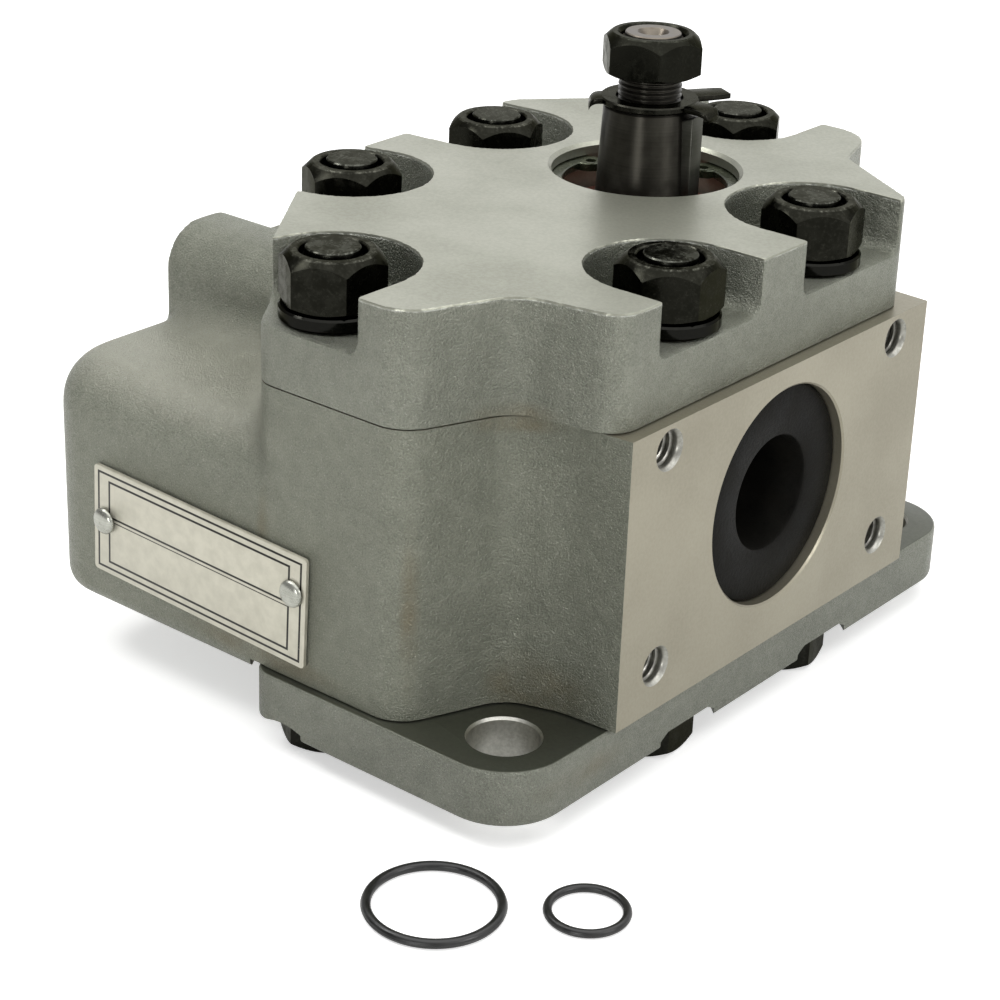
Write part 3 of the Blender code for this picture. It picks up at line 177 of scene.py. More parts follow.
def near(tree, place, x, y, z, reach_x, reach_y, reach_z):
    """One at a place on the piece, given in millimetres, that fades to nothing at its reach each way."""
    offset = node(tree, "ShaderNodeVectorMath", {"operation": "SUBTRACT"}, i0=place, i1=(x, y, z)).outputs[0]
    scaled = node(tree, "ShaderNodeVectorMath", {"operation": "DIVIDE"}, i0=offset,
                  i1=(reach_x, reach_y, reach_z)).outputs[0]
    length = node(tree, "ShaderNodeVectorMath", {"operation": "LENGTH"}, i0=scaled).outputs["Value"]
    return span(tree, length, 1.0, 0.25)


OIL = rgb(112, 100, 76), 0.2
# The next colour is painted light: a plain lighter tone for the chamber's top, where light from above falls.
PAINTED_TOP_LIGHT = rgb(170, 169, 156), 0.75


def cast_finish(name, light, dark, marks=(), rim=None):
    """Sand-cast aluminium with its own tones, patches from the marks (oil stains and painted light), and a painted
    highlight on the rim just under its level.
    """
    material, tree, shader, place = new_finish(name, Metallic=0.9)
    skin = node(tree, "ShaderNodeGroup", {"node_tree": sand_cast}, Place=place, Light=light, Dark=dark).outputs
    colour = skin["Color"]
    for (mark, least), *spot in marks:
        colour = node(tree, "ShaderNodeGroup", {"node_tree": patches}, Color=colour, Place=place, Patch=mark,
                      Least=least, Amount=near(tree, place, *spot)).outputs[0]
    # Painted highlight: the wall just under the rim's level is mixed in patches toward near-white metal, standing in
    # for the glint of a rounded edge.
    if rim:
        level = node(tree, "ShaderNodeSeparateXYZ", Vector=place).outputs[2]
        wear_and_glint = times(tree, span(tree, level, rim - 0.8, rim - 0.15),
                     span(tree, noise(tree, place, 0.35, 4.0, 0.7), 0.35, 0.6))
        colour = blend(tree, wear_and_glint, colour, rgb(226, 227, 220))
    give(tree, shader, colour, skin["Roughness"], skin["Height"], 0.16)
    return material


def machined_finish(name, light, dark, metallic=0.7, depth=0.008):
    """Milled or bored aluminium."""
    material, tree, shader, place = new_finish(name, Metallic=metallic)
    skin = node(tree, "ShaderNodeGroup", {"node_tree": machined}, Place=place, Light=light, Dark=dark).outputs
    give(tree, shader, skin["Color"], skin["Roughness"], skin["Height"], depth)
    return material


def take(obj):
    """Makes one object the only one that is selected and active."""
    bpy.ops.object.select_all(action="DESELECT")
    obj.select_set(True)
    bpy.context.view_layer.objects.active = obj
    return obj


def edit(obj):
    """Opens one object in edit mode with all of it selected."""
    take(obj)
    bpy.ops.object.mode_set(mode="EDIT")
    bpy.ops.mesh.select_all(action="SELECT")


def finish_edit(outwards=True):
    """Points every face outwards and leaves edit mode."""
    if outwards:
        bpy.ops.mesh.select_all(action="SELECT")
        bpy.ops.mesh.normals_make_consistent(inside=False)
    bpy.ops.object.mode_set(mode="OBJECT")


def settle(obj, name=None):
    """Moves an object's place, turn and size into its mesh, and names it."""
    take(obj)
    bpy.ops.object.transform_apply(location=True, rotation=True, scale=True)
    if name:
        obj.name = name
        obj.data.name = name
    return obj


def pick(obj, kind, test):
    """In edit mode, selects only the vertices, edges or faces whose middle and direction pass the test."""
    bpy.ops.mesh.select_mode(type=kind)
    bpy.ops.mesh.select_all(action="DESELECT")
    mesh = bmesh.from_edit_mesh(obj.data)
    if kind == "VERT":
        for vertex in mesh.verts:
            vertex.select_set(test(vertex.co / MM, vertex.normal))
    elif kind == "EDGE":
        for edge in mesh.edges:
            a, b = edge.verts
            edge.select_set(test((a.co + b.co) / 2 / MM, (b.co - a.co).normalized()))
    else:
        for face in mesh.faces:
            face.select_set(test(face.calc_center_median() / MM, face.normal))
    mesh.select_flush_mode()
    bmesh.update_edit_mesh(obj.data)


def outline(right, left):
    """Joins the +Y corners, front to back, and the mirror images of the other side's."""
    return right + [(x, -y, r) for x, y, r in reversed(left)]


def slab(name, corners, low, high, segments=10):
    """A flat polygon is drawn through the corners, each corner rounded to its radius, and pulled up."""
    bpy.ops.object.select_all(action="DESELECT")
    bpy.ops.mesh.primitive_circle_add(vertices=len(corners), radius=0.05, fill_type="NGON")
    obj = settle(bpy.context.object, name)
    for vertex, (x, y, radius) in zip(obj.data.vertices, corners):
        vertex.co = (x * MM, y * MM, low * MM)
    edit(obj)
    for i, (x, y, radius) in enumerate(corners):
        here = Vector((x, y))
        before = Vector(corners[i - 1][:2]) - here
        after = Vector(corners[(i + 1) % len(corners)][:2]) - here
        if radius > 0:
            pick(obj, "VERT", lambda p, n: (p.xy - here).length < 0.001)
            reach = radius / math.tan(before.angle(after) / 2)
            bpy.ops.mesh.bevel(offset_type="OFFSET", offset=reach * MM, segments=segments, profile=0.5,
                               affect="VERTICES")
    bpy.ops.mesh.select_all(action="SELECT")
    bpy.ops.mesh.extrude_region_move(TRANSFORM_OT_translate={"value": (0, 0, (high - low) * MM)})
    finish_edit()
    return obj


def block(name, low, high):
    """A box between two opposite corners."""
    bpy.ops.object.select_all(action="DESELECT")
    middle = [(a + b) / 2 * MM for a, b in zip(low, high)]
    bpy.ops.mesh.primitive_cube_add(size=1, location=middle, scale=[(b - a) * MM for a, b in zip(low, high)])
    return settle(bpy.context.object, name)


def round_edges(obj, width, segments, test):
    """Rounds the picked edges of an object."""
    edit(obj)
    pick(obj, "EDGE", test)
    bpy.ops.mesh.bevel(offset_type="OFFSET", offset=width * MM, segments=segments, profile=0.5, affect="EDGES")
    finish_edit(outwards=False)
    return obj


def turn(name, stations, sides=64, ring=False):
    """Turned on the lathe along +Z: a circle is extruded from one (radius, height) to the next."""
    bpy.ops.object.select_all(action="DESELECT")
    radius, height = stations[0]
    fill = "NOTHING" if ring else "NGON"
    bpy.ops.mesh.primitive_circle_add(vertices=sides, radius=radius * MM, fill_type=fill,
                                      location=(0, 0, height * MM))
    obj = settle(bpy.context.object, name)
    edit(obj)
    path = stations[1:] + stations[:1] if ring else stations[1:]
    for new_radius, new_height in path:
        step = {"value": (0, 0, (new_height - height) * MM)}
        if ring:
            bpy.ops.mesh.extrude_edges_move(TRANSFORM_OT_translate=step)
        else:
            bpy.ops.mesh.extrude_region_move(TRANSFORM_OT_translate=step)
        scale = new_radius / radius
        bpy.ops.transform.resize(value=(scale, scale, 1), center_override=(0, 0, new_height * MM))
        radius, height = new_radius, new_height
    bpy.ops.mesh.select_all(action="SELECT")
    bpy.ops.mesh.remove_doubles(threshold=1e-6)
    finish_edit()
    return obj


def lay(obj, place=(0, 0, 0), facing="Z", turned=0.0):
    """Points a piece's +Z along X, -X or -Y, or turns it round +Z, and moves it to its place."""
    angles = {"Z": (0, 0, turned), "X": (0, 90, 0), "-X": (0, -90, 0), "-Y": (90, turned, 0)}[facing]
    obj.rotation_euler = [math.radians(a) for a in angles]
    obj.location = Vector(place) * MM
    return settle(obj)


def coat(obj, *finishes, second=None):
    """Gives an object its finishes; the faces that pass the second test take the second one."""
    obj.data.materials.clear()
    for finish in finishes:
        obj.data.materials.append(finish)
    for face in obj.data.polygons:
        face.material_index = 1 if second and second(face.center / MM, face.normal) else 0
    return obj


def join_solids(obj, other, operation, solver="EXACT"):
    """Adds, cuts or intersects with another solid, which is used up."""
    take(obj)
    step = obj.modifiers.new("solid", "BOOLEAN")
    step.operation = operation
    step.object = other
    step.solver = solver
    if solver != "EXACT" or other.data.materials:
        step.material_mode = "INDEX"
    bpy.ops.object.modifier_apply(modifier=step.name)
    bpy.data.objects.remove(other)
    return obj


def collect(parts):
    """Joins objects into the first one, as one mesh."""
    bpy.ops.object.select_all(action="DESELECT")
    for part in parts:
        part.select_set(True)
    bpy.context.view_layer.objects.active = parts[0]
    bpy.ops.object.join()
    return parts[0]


def soften_casting(obj, voxel, rounds):
    """Rebuilds a rough shape as an even skin and relaxes it, so that every corner gets a cast radius."""
    take(obj)
    skin = obj.modifiers.new("skin", "REMESH")
    skin.mode = "VOXEL"
    skin.voxel_size = voxel * MM
    skin.use_smooth_shade = True
    bpy.ops.object.modifier_apply(modifier=skin.name)
    relax = obj.modifiers.new("relax", "SMOOTH")
    relax.factor = 0.5
    relax.iterations = rounds
    bpy.ops.object.modifier_apply(modifier=relax.name)
    return obj


def shade(obj, angle=32):
    """Smooth shading, with every edge sharper than the angle left crisp."""
    take(obj)
    bpy.ops.object.shade_smooth_by_angle(angle=math.radians(angle))
    return obj


def ready(obj, slot, body_name, *nodes):
    """Names the body that a finished piece rides on and hides the solids that it stands for; the slot is not used."""
    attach(obj, body_name)
    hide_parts(*nodes)
    return obj


ends = [(22.0, 80.0, 8.0), (-14.5, 80.0, 6.0), (-52.0, 26.0, 14.0)]
full_corner = [(-23.5, 80.0, 6.0), (-54.0, 44.0, 6.0)]
casing_left = [(52.5, 53.5, 6.0), (31.0, 57.6, 9.0)] + ends
casing_right = [(52.5, 45.5, 4.0), (27.5, 61.5, 5.0), (21.5, 80.0, 10.0)] + full_corner
body_front = [(59.0, 52.8, 0.0), (42.5, 53.8, 12.0), (31.0, 57.6, 9.0)]
rear_left = [(53.7, 82.0, 13.8), (-13.5, 82.0, 6.0), (-54.0, 26.0, 14.0)]
rear_right = [(53.7, 82.0, 13.8), (-22.5, 82.0, 6.0), (-54.0, 45.0, 6.0)]


def grown(half, margin):
    """The same outline a little larger, for the space round a neighbour."""
    return [(x + math.copysign(margin, x), y + margin, r + margin) for x, y, r in half]


body = slab("body_casting", outline(body_front + ends[:1] + full_corner, body_front + ends), BODY_LOW - 3,
            BODY_HIGH + 3)

CHAMBER_END, CHAMBER_SIDE = -79.5, -80.0
GALLERY_SIDE = -43.0
SHELF = 61.5
EDGE = 12.0
chamber = block("chamber", (CHAMBER_END, CHAMBER_SIDE, 8.8), (-4.5, -24.0, SHELF))
round_edges(chamber, 12, 12, lambda p, d: abs(d.z) > 0.9 and p.x < -79 and p.y < -79)
share = chamber.data.attributes.new("bevel_weight_edge", "FLOAT", "EDGE")
for edge in chamber.data.edges:
    a, b = (chamber.data.vertices[i].co / MM for i in edge.vertices)
    p, d = (a + b) / 2, (b - a).normalized()
    if p.z > SHELF - 0.5 and abs(d.z) < 0.1 and p.x < -5 and p.y < -25:
        share.data[edge.index].value = 0.4 + 0.6 * abs(d.x)
rim = chamber.modifiers.new("rim", "BEVEL")
rim.width = EDGE * MM
rim.segments = 8
rim.limit_method = "WEIGHT"
take(chamber)
bpy.ops.object.modifier_apply(modifier=rim.name)
round_edges(chamber, 4.5, 6,
            lambda p, d: p.z < 9 and abs(d.z) < 0.1 and p.x < -5 and p.y < -25)

gallery = block("gallery", (CHAMBER_END, GALLERY_SIDE, 20.0), (-42.0, -24.0, 81.3))
round_edges(gallery, 10.0, 10, lambda p, d: p.z > 81 and abs(d.x) > 0.9 and p.y < -42)
round_edges(gallery, 4, 6, lambda p, d: p.z > 81 and abs(d.x) > 0.9 and p.y > -25)

housing = block("outlet_housing", (-69.0, -31.5, 9.0), (-42.0, 30.0, 79.2))
round_edges(housing, 9, 10, lambda p, d: p.z > 79 and abs(d.x) > 0.9 and p.y > 29)


def cove(name, stations, wall, radius):
    """A concave corner: its profile is drawn flat at the first station and pulled through the others."""
    wall = Vector(wall)
    start, size = Vector(stations[0][0]), stations[0][1]
    profile = [(-2.0, -2.0), (radius, -2.0)]
    for angle in range(0, 91, 10):
        t = math.radians(angle)
        profile.append((radius * (1 - math.sin(t)), radius * (1 - math.cos(t))))
    profile.append((-2.0, radius))
    bpy.ops.object.select_all(action="DESELECT")
    bpy.ops.mesh.primitive_circle_add(vertices=len(profile), radius=0.05, fill_type="NGON")
    strip = settle(bpy.context.object, name)
    for vertex, (out, up) in zip(strip.data.vertices, profile):
        vertex.co = (start + (wall * out + Vector((0, 0, up))) * size) * MM
    edit(strip)
    for place, new_size in stations[1:]:
        place = Vector(place)
        bpy.ops.mesh.extrude_region_move(TRANSFORM_OT_translate={"value": (place - start) * MM})
        bpy.ops.transform.resize(value=(new_size / size,) * 3, center_override=place * MM)
        start, size = place, new_size
    finish_edit()
    return strip


SLANT = (52.0 - 14.5) / (80.0 - 26.0)
gallery_stations = [((x, GALLERY_SIDE, z), size) for x, z, size in (
    (-79.0, 58.5, 0.12), (-77.6, 60.6, 0.25), (-75.0, SHELF, 0.5), (-71.0, SHELF, 0.8), (-66.0, SHELF, 1.0),
    (-33.8, SHELF, 1.0))]
lobe_stations = []
for angle in (15, 30, 45, 60, 75, 90):
    t = math.radians(angle)
    front = EDGE * (1 - math.cos(t))
    lobe_stations.append(((-14.5 - SLANT * front, CHAMBER_SIDE + front, SHELF - EDGE * (1 - math.sin(t))),
                          math.sin(t)))
lobe_stations.append(((-14.5 - SLANT * 40.0, -40.0, SHELF), 1.0))
gallery_cove = cove("gallery_cove", gallery_stations, (0, -1, 0), 9.0)
lobe_cove = cove("lobe_cove", lobe_stations, (-1, 0, 0), 9.0)

for extra in (chamber, gallery, housing, gallery_cove, lobe_cove):
    join_solids(body, extra, "UNION")
soften_casting(body, 0.85, 7)

# The oil patches are stains; the wide patch on the chamber's top is painted light, lighter where light from above
# falls.
body_skin = cast_finish("Cast body", rgb(143, 145, 132), rgb(103, 105, 94),
                        [(OIL, 23, -79, 36, 2.5, 5, 26), (OIL, -13.5, -80, 36, 2.5, 5, 20),
                         (OIL, -14, -76, 15, 30, 12, 4), (OIL, 32, -58, 73, 12, 12, 3),
                         (OIL, 34, -56, 17, 22, 8, 9), (PAINTED_TOP_LIGHT, -46, -62, 62, 60, 30, 9)])
cut_metal = machined_finish("Fresh cut metal", rgb(196, 195, 187), rgb(120, 119, 112), metallic=0.95, depth=0.004)
port_skin = machined_finish("Milled faces of the body", rgb(154, 149, 132), rgb(139, 134, 118))
coat(body, body_skin, port_skin, cut_metal)


def bored(obj):
    """A cutter that leaves machined metal behind on every face."""
    return coat(obj, body_skin, port_skin, second=lambda p, n: True)


def faced(obj):
    """A cutter that leaves machined metal behind where it cuts level, and rough casting elsewhere."""
    return coat(obj, body_skin, port_skin, second=lambda p, n: abs(n.z) > 0.9)


cover_space = slab("cover_space", outline(grown(casing_right, 1.5), grown(casing_left, 1.5)), BODY_HIGH, 90)
join_solids(cover_space, block("front_space", (-20, -100, BODY_HIGH), (70, 100, 90)), "UNION")
flange_space = slab("flange_space", outline(grown(rear_right, 1.5), grown(rear_left, 1.5)), 0.0, BODY_LOW)
join_solids(flange_space, block("under_space", (30, -60, 0.0), (70, 60, BODY_LOW)), "UNION")
inlet_plane = block("inlet_plane", (INLET_FACE, -70, -5), (70, 70, 95))
outlet_plane = block("outlet_plane", (-75, -23.8, -5), (OUTLET_FACE, 40, 95))
cutters = [faced(cover_space), faced(flange_space), bored(inlet_plane), bored(outlet_plane)]
for side in (-1, 1):
    bore = turn("gear_bore", [(27.95, 5), (27.95, 85)], sides=96)
    cutters.append(bored(lay(bore, (0, side * SHAFT_Y, 0))))


def port_bore(mouth, passage, length):
    """A stepped port with a broken edge at its mouth, cut from the origin down -Z."""
    return turn("port_bore", [(mouth + 1.4, 1.0), (mouth + 0.4, 0.0), (mouth, -0.4), (mouth, -6.0),
                              (passage + 0.4, -6.0), (passage, -6.4), (passage, -length)], sides=96)


def tapped_hole():
    """A drilled hole with the grooves of its thread and a broken edge, cut from the origin down -Z."""
    stations = [(5.3, 1.0), (4.3, 0.0), (3.7, -0.6)]
    for k in range(10):
        z = -0.8 - k * 1.5
        stations += [(3.55, z - 0.35), (3.55, z - 0.75), (4.05, z - 1.2), (4.05, z - 1.5)]
    stations += [(3.5, -17.0), (3.5, -18.0), (0.2, -20.0)]
    return turn("tapped_hole", stations, sides=28)


INLET_HOLES, OUTLET_HOLES = (40.9, 23.2), (11.1, 23.8)
for face_x, mouth, passage, length, (half_y, half_z), facing in (
        (INLET_FACE, 23.7, 14.5, 50, INLET_HOLES, "X"), (OUTLET_FACE, 17.0, 12.5, 62, OUTLET_HOLES, "-X")):
    cutters.append(bored(lay(port_bore(mouth, passage, length), (face_x, 0, PORT_Z), facing)))
    for y in (-half_y, half_y):
        for z in (PORT_Z - half_z, PORT_Z + half_z):
            cutters.append(bored(lay(tapped_hole(), (face_x, y, z), facing)))


def bolt_holes(low, high):
    """The six clearance holes for the through bolts, to be cut one by one."""
    return [lay(turn("bolt_hole", [(BOLT_HOLE, low), (BOLT_HOLE, high)], sides=32), (x, y, 0))
            for x, y, _ in BOLTS.values()]


cutters += [bored(hole) for hole in bolt_holes(5, 85)]
for cutter in cutters:
    join_solids(body, cutter, "DIFFERENCE", "MANIFOLD")
for face in body.data.polygons:
    p = face.center / MM
    off = math.hypot(abs(p.y) - INLET_HOLES[0], abs(p.z - PORT_Z) - INLET_HOLES[1])
    if 30 < p.x < INLET_FACE - 0.05 and off < 4.25:
        face.material_index = 2
shade(body)
ready(body, "cast_aluminium", "casing", "pump_body")

# Drive-side cover
# A thick star-topped casting with an open recess for each nut, whose walls stay rough from the mould.
# Its top and joint face are milled flat, and the seal bore is turned in it.

COVER_LOW, COVER_HIGH = 74.3, 98.0
NUT_SEAT = 86.4
FILLET = 2.5
RECESSES = {"front_left": (0, 16.8), "front_right": (0, 18.2), "end_right": (90, 15.5), "back_right": (186, 17.2),
            "back_left": (196, 17.2), "end_left": (-90, 17.0)}

# The cover's skin has a painted highlight along the top of its walls, just under the milled face.
cover_skin = cast_finish("Cast cover", rgb(147, 149, 137), rgb(106, 108, 98),
                         [(OIL, 30, -56, 75, 14, 14, 3)], rim=98.0)
cover_face = machined_finish("Milled top", rgb(170, 171, 157), rgb(138, 139, 126))

cover = slab("cover_casting", outline(casing_right, casing_left), COVER_LOW - 3, COVER_HIGH + 0.35)
for corner, (x, y, _) in BOLTS.items():
    way_out, radius = RECESSES[corner]
    recess_profile = [(1.0, NUT_SEAT), (radius - FILLET, NUT_SEAT)]
    for angle in range(15, 91, 15):
        t = math.radians(angle)
        recess_profile.append((radius - FILLET * (1 - math.sin(t)), NUT_SEAT + FILLET * (1 - math.cos(t))))
    recess = turn("nut_recess", recess_profile + [(radius, COVER_HIGH + 5)], sides=96)
    out = Vector((math.cos(math.radians(way_out)), math.sin(math.radians(way_out)), 0))
    edit(recess)
    pick(recess, "VERT", lambda p, n: p.dot(out) > 0.01)
    bpy.ops.transform.translate(value=out * 25 * MM)
    finish_edit(outwards=False)
    join_solids(cover, lay(recess, (x, y, 0)), "DIFFERENCE")
soften_casting(cover, 0.7, 4)
coat(cover, cover_skin, cover_face)
cover_cutters = [
    block("top_cut", (-70, -90, COVER_HIGH), (70, 90, COVER_HIGH + 10)),
    block("joint_cut", (-70, -90, COVER_LOW - 10), (70, 90, COVER_LOW)),
    lay(turn("seal_bore", [
        (23.1, 100.0), (21.1, 98.0), (20.3, 97.2), (20.3, 95.3), (21.5, 95.3), (21.5, 92.9), (20.3, 92.9),
        (20.3, 79.7), (11.4, 79.7), (11.4, 70.0),
    ], sides=128), (0, SHAFT_Y, 0)),
]
for cutter in cover_cutters + bolt_holes(70, 99):
    join_solids(cover, coat(cutter, cover_skin, cover_face, second=lambda p, n: True), "DIFFERENCE", "MANIFOLD")
for face in cover.data.polygons:
    if face.center.z / MM > COVER_HIGH - 0.3:
        face.material_index = 1
shade(cover)
for face in cover.data.polygons:
    if face.center.z / MM > COVER_HIGH - 0.01:
        face.use_smooth = False
ready(cover, "cast_aluminium", "casing", "drive_cover")

# Rear cover
# The flat rear cover is also the mounting flange. It is cast, milled on both faces, drilled for the
# six through bolts and for two mounting bolts in its ears, and relieved below for the bolt heads.

flange_skin = cast_finish("Cast flange", rgb(138, 140, 129), rgb(96, 98, 89),
                          [(OIL, -30, -70, 8, 30, 20, 6), (OIL, 45, -60, 6, 16, 20, 5)])
# The milled flange face is much darker than the cover's milled top: painted reflection, standing in for the dark
# surroundings mirrored in this face.
flange_face = machined_finish("Milled flange", rgb(96, 98, 88), rgb(80, 82, 74), metallic=0.85)

EAR_X, EAR_Y = 39.9, 68.2

flange = slab("flange_casting", outline(rear_right, rear_left), 0.0, 12.0, segments=16)
round_edges(flange, 0.7, 3, lambda p, d: abs(d.z) < 0.1)
coat(flange, flange_skin, flange_face, cut_metal, second=lambda p, n: abs(n.z) > 0.95)
for x, y, _ in BOLTS.values():
    relief = turn("head_relief", [(15.0, -2.0), (15.0, 1.6), (13.6, 3.0)], sides=64)
    join_solids(flange, coat(lay(relief, (x, y, 0)), flange_skin, flange_face), "DIFFERENCE")
drillings = bolt_holes(1.0, 14.0)
for y in (-EAR_Y, EAR_Y):
    drillings.append(lay(turn("mounting_hole", [
        (9.55, 14.0), (7.65, 12.0), (7.15, 11.5), (7.15, 0.5), (7.65, 0.0), (8.65, -1.0),
    ], sides=96), (EAR_X, y, 0)))
for hole in drillings:
    join_solids(flange, coat(hole, flange_skin, flange_face, second=lambda p, n: True), "DIFFERENCE")
for face in flange.data.polygons:
    p = face.center / MM
    if math.hypot(p.x - EAR_X, abs(p.y) - EAR_Y) < 7.9 and abs(face.normal.z) < 0.95:
        face.material_index = 2
shade(flange)
ready(flange, "cast_aluminium", "casing", "rear_cover")

# Through bolts, spring washers and nuts
# Six half-inch bolts pass up through the whole casing, each with a sprung washer and a nut in its
# recess. All are steel, blacked in hot oxide, with the tops rubbed by the spanner.

black_oxide, enter, leave = effect(
    "Black oxide", [("Place", "Vector"), ("Black", "Color"), ("Rubbed", "Color"), ("Wear", "Float")], SKIN)
blotch = span(black_oxide, noise(black_oxide, enter["Place"], 0.35, 4.0, 0.6), 0.35, 0.7)
scuff = span(black_oxide, noise(black_oxide, enter["Place"], 1.4, 4.0, 0.7), 0.5, 0.75)
rub = times(black_oxide, plus(black_oxide, times(black_oxide, blotch, 0.55), scuff), enter["Wear"])
black_oxide.links.new(blend(black_oxide, rub, enter["Black"], enter["Rubbed"]), leave["Color"])
black_oxide.links.new(span(black_oxide, blotch, 0.0, 1.0, 0.18, 0.32), leave["Roughness"])
black_oxide.links.new(scuff, leave["Height"])


def blacked_finish(name, black, rubbed, wear=0.35, top=None, top_wear=0.8, metallic=0.4, polish=1.0, **sockets):
    """Blacked steel, more rubbed above the level given in millimetres; a lower polish value is glossier."""
    material, tree, shader, place = new_finish(name, Metallic=metallic, **sockets)
    amount = wear
    if top:
        height = node(tree, "ShaderNodeSeparateXYZ", Vector=place).outputs[2]
        amount = span(tree, height, top - 0.1, top, wear, top_wear)
    skin = node(tree, "ShaderNodeGroup", {"node_tree": black_oxide}, Place=place, Black=black, Rubbed=rubbed,
                Wear=amount).outputs
    give(tree, shader, skin["Color"], times(tree, skin["Roughness"], polish), skin["Height"], 0.006)
    return material


ACROSS_FLATS = 19.0
HEAD_LOW = -5.3


def hexagon_corners(across_flats, radius=0.45):
    """The six corners of a spanner hexagon, each a little rounded, with one along +X."""
    corner = across_flats / math.sqrt(3)
    return [(corner * math.cos(math.radians(a)), corner * math.sin(math.radians(a)), radius)
            for a in range(0, 360, 60)]


def place_copy(pattern, name, x, y, degrees):
    """A copy with its own mesh, turned and moved to a bolt's place."""
    copy = pattern.copy()
    copy.data = pattern.data.copy()
    bpy.context.collection.objects.link(copy)
    copy.name = copy.data.name = name
    return lay(copy, (x, y, 0), turned=degrees)


DARK_EDGE = (0.55, 0.55, 0.52, 1.0)
nut_finish = blacked_finish("Blacked nut", rgb(24, 24, 20), rgb(84, 84, 76), 0.12, top=100.2, top_wear=0.95,
                            metallic=1.0, Specular_Tint=DARK_EDGE)
bolt_finish = blacked_finish("Blacked bolt", rgb(30, 30, 26), rgb(92, 93, 86), 0.15, top=100.8, top_wear=0.95,
                             metallic=1.0, Specular_Tint=DARK_EDGE)
washer_finish = blacked_finish("Glossy spring washer", rgb(26, 26, 24), rgb(48, 47, 44), 0.1, metallic=1.0,
                               polish=0.45, Specular_Tint=DARK_EDGE)

nut = slab("nut", hexagon_corners(ACROSS_FLATS), 89.8, 100.4, segments=4)
join_solids(nut, turn("nut_form", [
    (9.3, 89.8), (9.5, 89.9), (11.2, 90.85), (11.2, 97.6), (10.9, 97.95), (8.75, 100.15), (8.3, 100.4),
], sides=96), "INTERSECT")
join_solids(nut, turn("nut_bore", [
    (7.6, 101.0), (7.0, 100.4), (6.65, 100.0), (6.65, 90.4), (7.3, 89.7), (7.4, 89.0),
], sides=64), "DIFFERENCE")
shade(coat(nut, nut_finish), 25)

washer = turn("spring_washer", [
    (10.2, 86.7), (10.6, 87.1), (10.6, 89.1), (10.2, 89.5), (7.0, 89.5), (6.7, 89.2), (6.7, 87.0), (7.0, 86.7),
], sides=96, ring=True)
join_solids(washer, block("washer_split", (5, -0.7, 86), (12, 0.7, 90)), "DIFFERENCE")
shade(coat(washer, washer_finish), 40)

bolt = slab("bolt_head", hexagon_corners(ACROSS_FLATS), HEAD_LOW, 2.7, segments=4)
join_solids(bolt, turn("head_form", [
    (8.9, HEAD_LOW), (11.0, HEAD_LOW + 1.4), (11.2, HEAD_LOW + 1.7), (11.2, 2.0), (9.4, 2.7),
], sides=96), "INTERSECT")
bolt_thread = [(6.35, 2.0), (6.35, 88.0)]
for k in range(8):
    level = 88.0 + 1.3 * k
    bolt_thread += [(5.7, level + 0.45), (5.7, level + 0.6), (6.35, level + 1.1), (6.35, level + 1.3)]
bolt_thread += [(6.3, 98.8), (5.55, 99.7), (5.4, 100.75), (5.15, 101.0)]
bolt = collect([bolt, turn("bolt_shank", bolt_thread, sides=48)])
shade(coat(bolt, bolt_finish), 25)

for corner, (x, y, degrees) in BOLTS.items():
    ready(place_copy(nut, "nut_" + corner, x, y, degrees), "black_oxide_steel", "casing", "casing_nut_" + corner)
    ready(place_copy(washer, "washer_" + corner, x, y, degrees + 95), "black_oxide_steel", "casing",
          "spring_washer_" + corner)
    ready(place_copy(bolt, "bolt_" + corner, x, y, degrees), "dark_steel", "casing", "through_bolt_" + corner)
for pattern in (nut, washer, bolt):
    bpy.data.objects.remove(pattern)

# Gear shafts
# Each shaft is one steel forging with its gear. The drive shaft is ground to a keyed taper and then
# threaded for its nut; its end has a centre drilling from the lathe.

TAPER_TOP = 112.0
AXIS = (0, SHAFT_Y, 0)


def steel_finish(name, light, dark, low=0.2, high=0.34, metallic=0.9, drawn=0.0):
    """Ground or turned steel: fine rings round the axis, which draw its highlights out along it, and thin oil."""
    material, tree, shader, place = new_finish(name, Metallic=metallic, Anisotropic=drawn, Anisotropic_Rotation=0.25)
    if drawn:
        around = node(tree, "ShaderNodeTangent", {"direction_type": "RADIAL", "axis": "Z"})
        tree.links.new(around.outputs[0], shader.inputs["Tangent"])
    height = node(tree, "ShaderNodeSeparateXYZ", Vector=place).outputs[2]
    rings = node(tree, "ShaderNodeTexNoise", {"noise_dimensions": "1D"}, W=height, Scale=2.6, Detail=4.0).outputs[0]
    film = span(tree, noise(tree, place, 0.22, 4.0), 0.3, 0.7)
    tone = plus(tree, times(tree, span(tree, rings, 0.3, 0.7), 0.25), times(tree, film, 0.75))
    give(tree, shader, blend(tree, tone, dark, light), span(tree, film, 0.0, 1.0, low, high), rings, 0.0008)
    return material


def smoothed_copy(node_name, name):
    """A copy of a solid from the frame, with its loose triangles merged."""
    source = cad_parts[node_name]
    copy = source.copy()
    copy.data = source.data.copy()
    for key in list(copy.keys()):
        del copy[key]
    bpy.context.collection.objects.link(copy)
    copy.parent = None
    copy.matrix_world = source.matrix_world
    edit(settle(copy, name))
    bpy.ops.mesh.remove_doubles(threshold=1e-6)
    finish_edit(outwards=False)
    return copy


ground_steel = steel_finish("Ground steel", rgb(150, 146, 140), rgb(112, 108, 102))
# The taper's tone is far darker than the ground steel of the same shaft: painted reflection, standing in for the dark
# surroundings that polished steel mirrors.
taper_steel = steel_finish("Taper", rgb(66, 64, 58), rgb(52, 50, 45), 0.34, 0.42, drawn=0.8)
end_steel = steel_finish("Shaft end", rgb(118, 112, 102), rgb(86, 78, 70), 0.3, 0.42)

lower_shaft = smoothed_copy("drive_gear_shaft", "drive_shaft")
edit(lower_shaft)
bpy.ops.mesh.bisect(plane_co=(0, 0, 86 * MM), plane_no=(0, 0, 1), clear_outer=True, use_fill=True)
finish_edit(outwards=False)
coat(lower_shaft, ground_steel)
shade(lower_shaft, 30)

